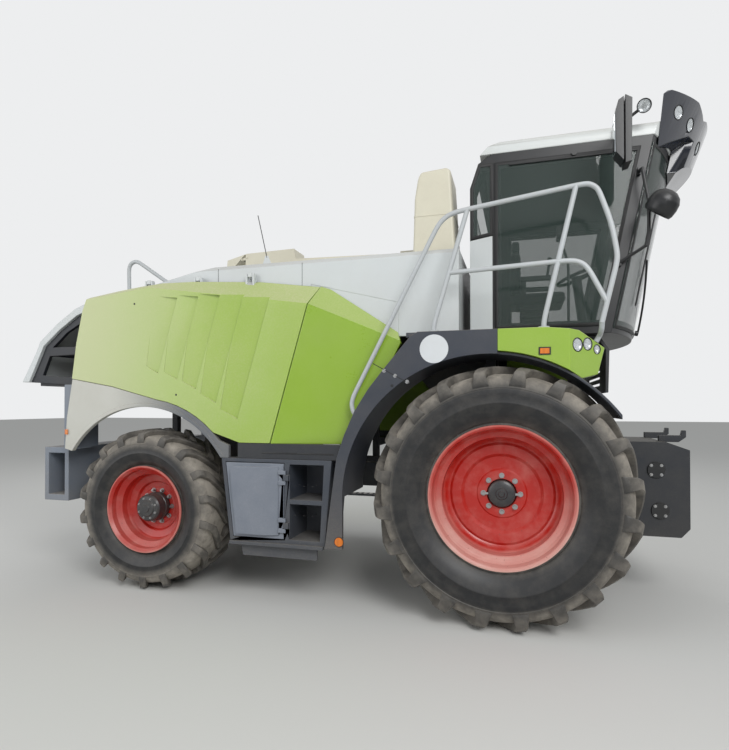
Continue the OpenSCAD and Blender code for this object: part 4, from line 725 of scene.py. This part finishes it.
# bowls, bezels and ribbed lenses of all the lamps
bowls, bezels, lenses = bmesh.new(), bmesh.new(), bmesh.new()
workLamp = facing(spot(1078, -1130, 4053), (-12, -52, -27))
allLamps = [lamp for group in lampPlaces.values() for lamp in group]
allLamps.append((workLamp @ moved((0, 0, 0.02)), 0.049))
depth = lamps["bowlDeep"]
for place, r in allLamps:
    stamp(bowls, spun([(0, -depth), (0.3 * r, -0.95 * depth), (0.6 * r, -0.8 * depth),
        (0.85 * r, -0.5 * depth), (0.96 * r, -0.003), (0.99 * r, -0.003), (0.99 * r, -depth - 0.003),
        (0, -depth - 0.003)], 32), [place])
    stamp(bezels, spun([(0.93 * r, -0.004), (0.95 * r, 0.002), (r, 0.004), (r + 0.003, 0.002),
        (r + 0.003, -depth), (r, -depth)], 40, closed=True), [place])
    stamp(lenses, spun([(0, 0.003), (0.5 * r, 0.002), (0.85 * r, -0.001), (0.95 * r, -0.003), (0, -0.003)],
        32), [place])
keepPiece(bowls, "lampBowls", "machine", platedBowl)
keepPiece(bezels, "lampBezels", "machine", sealRubber)
keepPiece(lenses, "lampLenses", "machine", lampGlass)
print("lamps made")

# degrees within which faces are one sheet, its least area, and the band's steps inwards and upwards
sealLook = {"turn": 25, "smallest": 0.1, "steps": ((0.002, 0.003), (0.024, 0.0), (0.002, -0.0025))}


# Seals: a band that runs round each pane on both faces
def paneSeals(node, body, name):
    bm = bmesh.new()
    bm.from_mesh(nodes[node].data)
    bmesh.ops.remove_doubles(bm, verts=bm.verts, dist=0.0001)
    bmesh.ops.recalc_face_normals(bm, faces=bm.faces)
    left = set(bm.faces)
    sheets = []
    while left:
        group, front = set(), [left.pop()]
        while front:
            face = front.pop()
            group.add(face)
            for edge in face.edges:
                for other in edge.link_faces:
                    if other in left and face.normal.angle(other.normal, 0) < math.radians(sealLook["turn"]):
                        left.remove(other)
                        front.append(other)
        if sum(f.calc_area() for f in group) > sealLook["smallest"]:
            sheets.append(list(group))
    keep = []
    for sheet in sheets:
        for wide, lift in sealLook["steps"]:
            keep += bmesh.ops.inset_region(bm, faces=sheet, thickness=wide, depth=lift,
                use_even_offset=True)["faces"]
    keep = set(keep)
    bmesh.ops.delete(bm, geom=[f for f in bm.faces if f not in keep], context="FACES")
    keepPiece(bm, name, body, sealRubber, tidy=False, even=False)


paneSeals("cab_windows", "machine", "paneSeals")
paneSeals("cab_door_glass", "cab_door", "doorPaneSeals")

# smooth handrails: the same runs as the machine's own, their bends drawn as arcs
railLook = {"radius": 0.0195, "bend": 0.09, "footRadius": 0.042, "footHeight": 0.012}
rails = {
    "handrail_right": {"side": -1420, "feet": (-522, 320),
        "runs": (((-1130, 1610), (-1200, 1660), (-1218, 1760), (-510, 3126), (-470, 3190), (-415, 3237),
        (-340, 3265), (590, 3380), (650, 3378), (700, 3342), (724, 3290), (798, 3068), (834, 2862),
        (836, 2790), (729, 2335)), ((-253, 3275), (-522, 2365), (-522, 2290)),
        ((554, 3376), (320, 2365), (320, 2290)), ((-398, 2781), (460, 2814), (560, 2808), (630, 2762),
        (765, 2488)))},
    "handrail_left": {"side": 1420, "feet": (-600,), "runs": (((-1130, 1610), (-1200, 1660), (-1218, 1760),
        (-482, 3180), (-420, 3150), (-600, 2365), (-600, 2290)),)},
}
for node, rail in rails.items():
    bm = bmesh.new()
    for run in rail["runs"]:
        addPipe(bm, rounded([spot(x, rail["side"], z) for x, z in run], railLook["bend"]), railLook["radius"])
    if node == "handrail_right":
        # its front end turns in and down to the lamp pod
        inwards = ((731, -1420, 2345), (731, -1390, 2290), (731, -1300, 2259), (701, -1300, 2208))
        addPipe(bm, rounded([spot(*place) for place in inwards], 0.03), railLook["radius"])
    for x in rail["feet"]:
        addDrum(bm, spot(x, rail["side"], 2311), (0, 0, 1), railLook["footRadius"], railLook["footHeight"])
    low, high = sorted((rail["side"], 1461 if rail["side"] > 0 else -1461))
    addBar(bm, (-1150, low, 1590), (-1105, high, 1630), 3)
    keepPiece(bm, "tube" + titled(node), "machine", railPaint, (node,))
bm = bmesh.new()
rearRun = ((-3690, 2830), (-3700, 3125), (-3670, 3177), (-3600, 3192), (-3210, 2932))
addPipe(bm, rounded([spot(x, -1100, z) for x, z in rearRun], 0.06), railLook["radius"])
# its feet stand square to the falling deck
for x, z in ((-3690, 2814.5), (-3210, 2916)):
    addDrum(bm, spot(x, -1100, z), (-0.2065, 0, 0.9785), 0.044, 0.014)
keepPiece(bm, "tubeRearRail", "machine", railPaint, ("rear_rail",))
print("rails made")

# cream tank behind the cab: blow-moulded, so its edges are soft and a weld seam runs round it
tank = {
    "side": ((-790, 3035), (-772, 3595), (-742, 3777), (-715, 3832), (-480, 3850), (-446, 3820),
        (-400, 3035)),
    "near": -930, "wide": 0.43, "edge": 0.026, "seamLow": 3424, "seamHigh": 3438, "capX": -600, "capY": -715,
    "ribs": 20,
}
bm = bmesh.new()
wall = bm.faces.new([bm.verts.new(spot(x, tank["near"], z)) for x, z in tank["side"]])
pulled(bm, wall, (0, tank["wide"], 0))
bmesh.ops.recalc_face_normals(bm, faces=bm.faces)
bmesh.ops.bevel(bm, geom=bm.edges[:], offset=tank["edge"], segments=5, profile=0.5, affect="EDGES",
    material=-1)
for z in (tank["seamLow"], tank["seamHigh"]):
    sliced(bm, spot(0, 0, z), (0, 0, 1))
seam = [f for f in bm.faces if tank["seamLow"] < f.calc_center_median().z * 1000 < tank["seamHigh"]]
bmesh.ops.inset_region(bm, faces=seam, thickness=0.002, depth=0.004, use_even_offset=True)
# screw cap in two steps with grip ribs
for z, low, length, high in ((3835, 0.075, 0.035, 0.073), (3870, 0.06, 0.013, 0.056)):
    addDrum(bm, spot(tank["capX"], tank["capY"], z), (0, 0, 1), low, length, 40, high)
for i in range(tank["ribs"]):
    rib = moved(spot(tank["capX"], tank["capY"], 3850))
    rib = rib @ turned(i * 360 / tank["ribs"], "Z") @ moved((0.074, 0, 0))
    bmesh.ops.create_cube(bm, size=1, matrix=rib @ Matrix.Diagonal((0.004, 0.008, 0.026, 1)))
keepPiece(bm, "tank", "machine", creamPaint, ("additive_tank",))


# edge in millimetres, the rest in metres
padLook = {"edge": 24, "voxel": 0.006, "pressure": 4, "frames": 20, "bulge": 0.009}


# One upholstered pad: a remeshed block blown up a little by cloth pressure, then held to its space
def makePad(name, low, high):
    bm = bmesh.new()
    addBar(bm, low, high, padLook["edge"])
    pad = placed(name, meshOf(bm, name))
    remesh = pad.modifiers.new("grid", "REMESH")
    remesh.mode = "VOXEL"
    remesh.voxel_size = padLook["voxel"]
    mesh = worked(pad)
    pad.modifiers.clear()
    pad.data = mesh
    rest = [v.co.copy() for v in mesh.vertices]
    blow = pad.modifiers.new("blow", "CLOTH")
    blow.settings.use_pressure = True
    blow.settings.uniform_pressure_force = padLook["pressure"]
    blow.settings.effector_weights.gravity = 0
    blow.point_cache.frame_end = padLook["frames"]
    for frameNumber in range(1, padLook["frames"] + 1):
        bpy.context.scene.frame_set(frameNumber)
    blown = worked(pad)
    pad.modifiers.clear()
    for vert, start, after in zip(mesh.vertices, rest, blown.vertices):
        step = after.co - start
        vert.co = start + step * min(1, padLook["bulge"] / max(step.length, 1e-9))
    bpy.context.scene.frame_set(1)
    mesh.materials.clear()
    mesh.materials.append(cloth)
    mesh.polygons.foreach_set("use_smooth", [True] * len(mesh.polygons))
    finer = pad.modifiers.new("finer", "SUBSURF")
    finer.levels = finer.render_levels = 1
    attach(pad, "machine")
    return pad


pads = {
    "seatPad": ((75, -245, 2715), (565, 245, 2815)), "seatBack": ((55, -235, 2845), (140, 235, 3225)),
    "headRest": ((62, -125, 3262), (135, 125, 3368)),
}
made = [makePad(name, low, high) for name, (low, high) in pads.items()]
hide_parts("driver_seat")
# piping round the pads, headrest stalks and the sprung base under its ribbed boot
bm = bmesh.new()
for x, y, z, deep, tall in ((320, 0, 2765, 243, 0), (96, 0, 3035, 0, 188)):
    ring = [spot(x + deep * a, y + 240 * b, z + tall * a) for a,
        b in ((-1, -1), (-1, 1), (1, 1), (1, -1), (-1, -1))]
    addPipe(bm, rounded(ring, 0.05), 0.004)
keepPiece(bm, "seatPiping", "machine", sealRubber)
bm = bmesh.new()
for y in (-60, 60):
    addDrum(bm, spot(98, y, 3200), (0, 0, 1), 0.008, 0.09, 16)
addBar(bm, (130, -228, 2800), (42, 228, 2716), 6)
addBar(bm, (46, -215, 2810), (58, 215, 3210), 5)
addBar(bm, (130, -225, 2356), (420, 225, 2400), 5)
for side in (-1, 1):
    addBar(bm, (140, side * 262 - 22, 2925), (430, side * 262 + 22, 2975), 14)
    addBar(bm, (150, side * 250 - 12, 2790), (200, side * 250 + 12, 2930), 4)
# joystick on the right armrest
addDrum(bm, spot(395, -262, 2970), (0.15, 0, 1), 0.013, 0.11, 16, 0.011)
addDrum(bm, spot(410, -262, 3072), (0.15, 0, 1), 0.026, 0.07, 20, 0.02)
# ribbed boot over the suspension
for step in range(9):
    wide, deep = (212, 135.68) if step % 2 else (196, 125.44)
    z = 2400 + step * 35
    addBar(bm, (275 - deep, -wide, z), (275 + deep, wide, z + 34), 8)
keepPiece(bm, "seatFrame", "machine", blackPlastic)
print("seat made")


# a flat sheet with its outline drawn on the machine's side (x, z), from one y to another
def addPlate(bm, outline, yFrom, yTo):
    face = bm.faces.new([bm.verts.new(spot(x, yFrom, z)) for x, z in outline])
    pulled(bm, face, (0, (yTo - yFrom) / 1000, 0))


# one bolt head whose foot is at the place
def bolt(bm, place, aim, across, height):
    stamp(bm, hexNut(across, height), [facing(place, aim)])


# places on both sides, in millimetres from the front axle; (x, z) where the y is the skin they sit on
sides = {
    "deckSkin": 1250, "fenderSkin": 1500, "doorSkin": 1450, "feedSkin": 405, "archSkin": 1460,
    "skirt": ((-1650, 2803), (-846, 2603), (-846, 2314), (-935, 2330), (-1650, 2650)),
    "seamsX": (-2578, -1731), "seamLow": 2690, "seamHigh": 3003,
    "lap": ((-1010, 2062), (-1004, 2066), (-700, 1898), (-704, 1892)),
    "lapBolts": ((-913, 2003), (-822, 1961), (-724, 1912)), "blankHole": (-847, 1881),
    "disc": (-508, 2169), "discRadius": 0.114,
    "lampFrame": ((280, 2101), (366, 2101), (366, 2159), (280, 2159)),
    "lampLens": ((290, 2110), (356, 2110), (356, 2150), (290, 2150)), "roundMarker": (-1297, 594),
    "rearMarker": ((-4140, 1440), (-4106, 1440), (-4106, 1490), (-4140, 1490)),
    "catches": ((-3349, 2680), (-2892, 1821)), "rollers": ((1330, 790), (1300, 1150)),
    "tailX": -4199, "tailY": 1290, "mirrorFoot": 3480,
}
zincBits, darkBits, seamShadeBits = bmesh.new(), bmesh.new(), bmesh.new()
wallBits, amberBits, redBits, whiteBits = bmesh.new(), bmesh.new(), bmesh.new(), bmesh.new()
mirrorBits, screenBits = bmesh.new(), bmesh.new()
for sign in (-1, 1):
    side = "right" if sign < 0 else "left"
    out = (0, sign, 0)
    deck, fender = sign * sides["deckSkin"], sign * sides["fenderSkin"]
    # white skirt under the deck's edge, behind the corner panel's folded top
    addPlate(wallBits, sides["skirt"], deck - sign * 4, deck - sign * 10)
    # joints between the deck's side sheets: two thin dark strips, painted shade standing in for the seam
    # grooves
    for x in sides["seamsX"]:
        line = [(x + a, sides[b]) for a, b in ((-2, "seamLow"), (2, "seamLow"), (2, "seamHigh"),
            (-2, "seamHigh"))]
        addPlate(seamShadeBits, line, deck - sign * 0.5, deck + sign * 0.6)
    # fender's lap joint with its bolts, and the blank hole in it
    addPlate(darkBits, sides["lap"], fender - sign, fender + sign * 0.6)
    for x, z in sides["lapBolts"]:
        bolt(zincBits, spot(x, fender - sign, z), out, 0.012, 0.006)
    x, z = sides["blankHole"]
    addDrum(darkBits, spot(x, fender - sign * 0.5, z), out, 0.012, 0.0012, 20)
    # blank white disc, framed amber lamp, round amber marker at the foot of the fender
    x, z = sides["disc"]
    addDrum(whiteBits, spot(x, fender - sign, z), out, sides["discRadius"], 0.003, 56,
        sides["discRadius"] - 0.001)
    addPlate(darkBits, sides["lampFrame"], fender - sign, fender + sign * 6)
    addPlate(amberBits, sides["lampLens"], fender + sign * 5, fender + sign * 10)
    x, z = sides["roundMarker"]
    addDrum(darkBits, spot(x, fender - sign, z), out, 0.042, 0.005, 40)
    addDrum(amberBits, spot(x, fender + sign * 3, z), out, 0.038, 0.006, 40, 0.034)
    addPlate(amberBits, sides["rearMarker"], sign * (sides["archSkin"] - 1), sign * (sides["archSkin"] + 2))
    # small catches on the side door
    catches = bmesh.new()
    for x, z in sides["catches"]:
        addDrum(catches, spot(x, sign * (sides["doorSkin"] - 1), z), out, 0.01, 0.004, 20, 0.008)
    keepPiece(catches, f"doorCatches{side.title()}", f"door_{side}", blackPlastic, even=False)
    # roller bearings on the feed housing's plates, each with four bolts
    for x, z in sides["rollers"]:
        addDrum(darkBits, spot(x, sign * sides["feedSkin"], z), out, 0.075, 0.014, 40, 0.07)
        for k in range(4):
            turn = math.radians(45 + k * 90)
            place = spot(x + 58 * math.cos(turn), sign * (sides["feedSkin"] + 13), z + 58 * math.sin(turn))
            bolt(zincBits, place, out, 0.01, 0.008)
    # raised studs of the walkway
    for i in range(13):
        for j in range(7):
            place = spot(-720 + i * 60, sign * (900 + j * 88), 2309.5)
            addDrum(darkBits, place, (0, 0, 1), 0.012, 0.0025, 12, 0.009)
    # tail lamps on the bumper's uprights: red below, amber above
    for z, bits in ((1600, redBits), (1720, amberBits)):
        addDrum(darkBits, spot(sides["tailX"], sign * sides["tailY"], z), (-1, 0, 0), 0.048, 0.005, 40)
        addDrum(bits, spot(sides["tailX"] - 4, sign * sides["tailY"], z), (-1, 0, 0), 0.044, 0.008, 40, 0.038)
    # main glass and wide-angle glass on the rear of each mirror head
    head = 880 if sign < 0 else 1200
    for low, high in ((95, 320), (330, 376)):
        near, far = sorted((sign * 1356, sign * 1466))
        addBar(mirrorBits, (head - 64, near, sides["mirrorFoot"] + low),
            (head - 57, far, sides["mirrorFoot"] + high), 1)
# ladder treads: punched grip along each step
for z in (530, 780, 1030):
    for i in range(9):
        for y in (-1435, -1345):
            addDrum(darkBits, spot(-2180 + i * 78, y, z - 0.5), (0, 0, 1), 0.008, 0.003, 12, 0.006)
# side-pane wiper bar and its pivot, and the windscreen's wiper, which follows the screen's drum
addPipe(darkBits, [spot(60, -1012, 3765), spot(1050, -1012, 3765)], 0.008)
addDrum(darkBits, spot(577, -1006, 3800), (0, -1, 0), 0.022, 0.018, 24)
screenDrum = moved(spot(-760.2, 0, 2310)) @ turned(11.5, "Y")


# a place on the windscreen: degrees from its middle, height and lift off the glass in metres
def onScreen(turn, up, off):
    return screenDrum @ turned(turn, "Z") @ Vector((1.885 + off, 0, up))


addPipe(darkBits, [onScreen(-22, 0.62 + 0.08 * i, 0.01) for i in range(11)], 0.007)
addPipe(darkBits, [onScreen(-8 - 14 * i / 8, 0.46 + 0.55 * i / 8, 0.022) for i in range(9)], 0.009)
addDrum(darkBits, onScreen(-8, 0.46, 0.0), (0.98, 0, -0.2), 0.024, 0.026, 24)
# monitor on its stem
addPipe(darkBits, rounded([spot(560, -600, 2356), spot(560, -600, 3000), spot(485, -600, 3230)], 0.06), 0.012)
addBar(darkBits, (460, -655, 3205), (500, -545, 3320), 6)
addBar(screenBits, (456, -645, 3216), (461, -555, 3310), 1)
# white bracket on the deck with its thin aerial
addPlate(wallBits, ((-2190, 3034), (-2090, 3034), (-2130, 3130), (-2160, 3130)), -1120, -1114)
addPipe(darkBits, [spot(-2142, -1117, 3110), spot(-2237, -1117, 3520)], 0.004)
# cab door's grab handle
handle = bmesh.new()
addPipe(handle, rounded([spot(15, 1040, 2760), spot(15, 1052, 2780), spot(15, 1052, 3100),
    spot(15, 1040, 3120)], 0.02), 0.009)
keepPiece(handle, "cabDoorHandle", "cab_door", blackPlastic, even=False)
# pull slots in the sill: flat dark bars on its face, painted shade in place of the recessed slots
for x in (-2024, -1690):
    addBar(darkBits, (x, -1452, 1302), (x + 330, -1449, 1316), 1)
fittings = ((zincBits, "boltHeads", zinc, "roller_steel"),
    (darkBits, "darkFittings", blackPlastic, "cab_black"),
    # the seam strips take the seal rubber finish as painted shade in the grooves
    (seamShadeBits, "sideSeamShade", sealRubber, "dark_paint"), (wallBits, "wallSkirts", lightPaint, "light_paint"),
    (amberBits, "amberLenses", amberLens, "red_rim_paint"), (redBits, "redLenses", redLens, "red_rim_paint"),
    (whiteBits, "blankDiscs", whiteFilm, "light_paint"),
    (mirrorBits, "mirrorFaces", mirrorGlass, "window_glass"),
    (screenBits, "monitorFace", screenGlass, "console_plastic"))
for bits, name, finish, slotName in fittings:
    keepPiece(bits, name, "machine", finish, even=False)
print("fittings made")

# plain pale floor
floorMat = newMaterial("paleFloor")[0]
plain = addNode(floorMat, "BsdfDiffuse", {"Color": "#D9D9D6"})
addNode(floorMat, "OutputMaterial", {"Surface": plain[0]})
floorHalf = 60
bm = bmesh.new()
bmesh.ops.create_grid(bm, x_segments=1, y_segments=1, size=floorHalf)
floor = placed("floor", meshOf(bm, "floor"))
floor.data.materials.append(floorMat)

world = bpy.data.worlds.new("studio")
bpy.context.scene.world = world
world.use_nodes = True
world.node_tree.nodes.clear()
lit = addNode(world, "Background", {"Color": "#F2F4F6", "Strength": light["world"]})
seen = addNode(world, "Background", {"Color": "#EDEEEF", "Strength": 1.0})
rays = addNode(world, "LightPath", {})
# direct looks, mirrored looks and looks through glass all meet the same pale background
direct = addNode(world, "Math", {"operation": "MAXIMUM", 0: rays["Is Camera Ray"], 1: rays["Is Glossy Ray"]})
pale = addNode(world, "Math", {"operation": "MAXIMUM", 0: direct[0], 1: rays["Is Transmission Ray"]})
choose = addNode(world, "MixShader", {0: pale[0], 1: lit[0], 2: seen[0]})
addNode(world, "OutputWorld", {"Surface": choose[0]})

for name in ("key", "fill", "back"):
    lamp = bpy.data.lights.new(name, "AREA")
    lamp.size = light[name]["size"]
    lamp.energy = light[name]["watts"]
    lampObj = placed(name, lamp)
    place = Vector(light[name]["place"])
    lampObj.location = place
    lampObj.rotation_euler = (Vector(light[name]["aim"]) - place).to_track_quat("-Z", "Y").to_euler()

bpy.context.scene.view_settings.view_transform = "Standard"
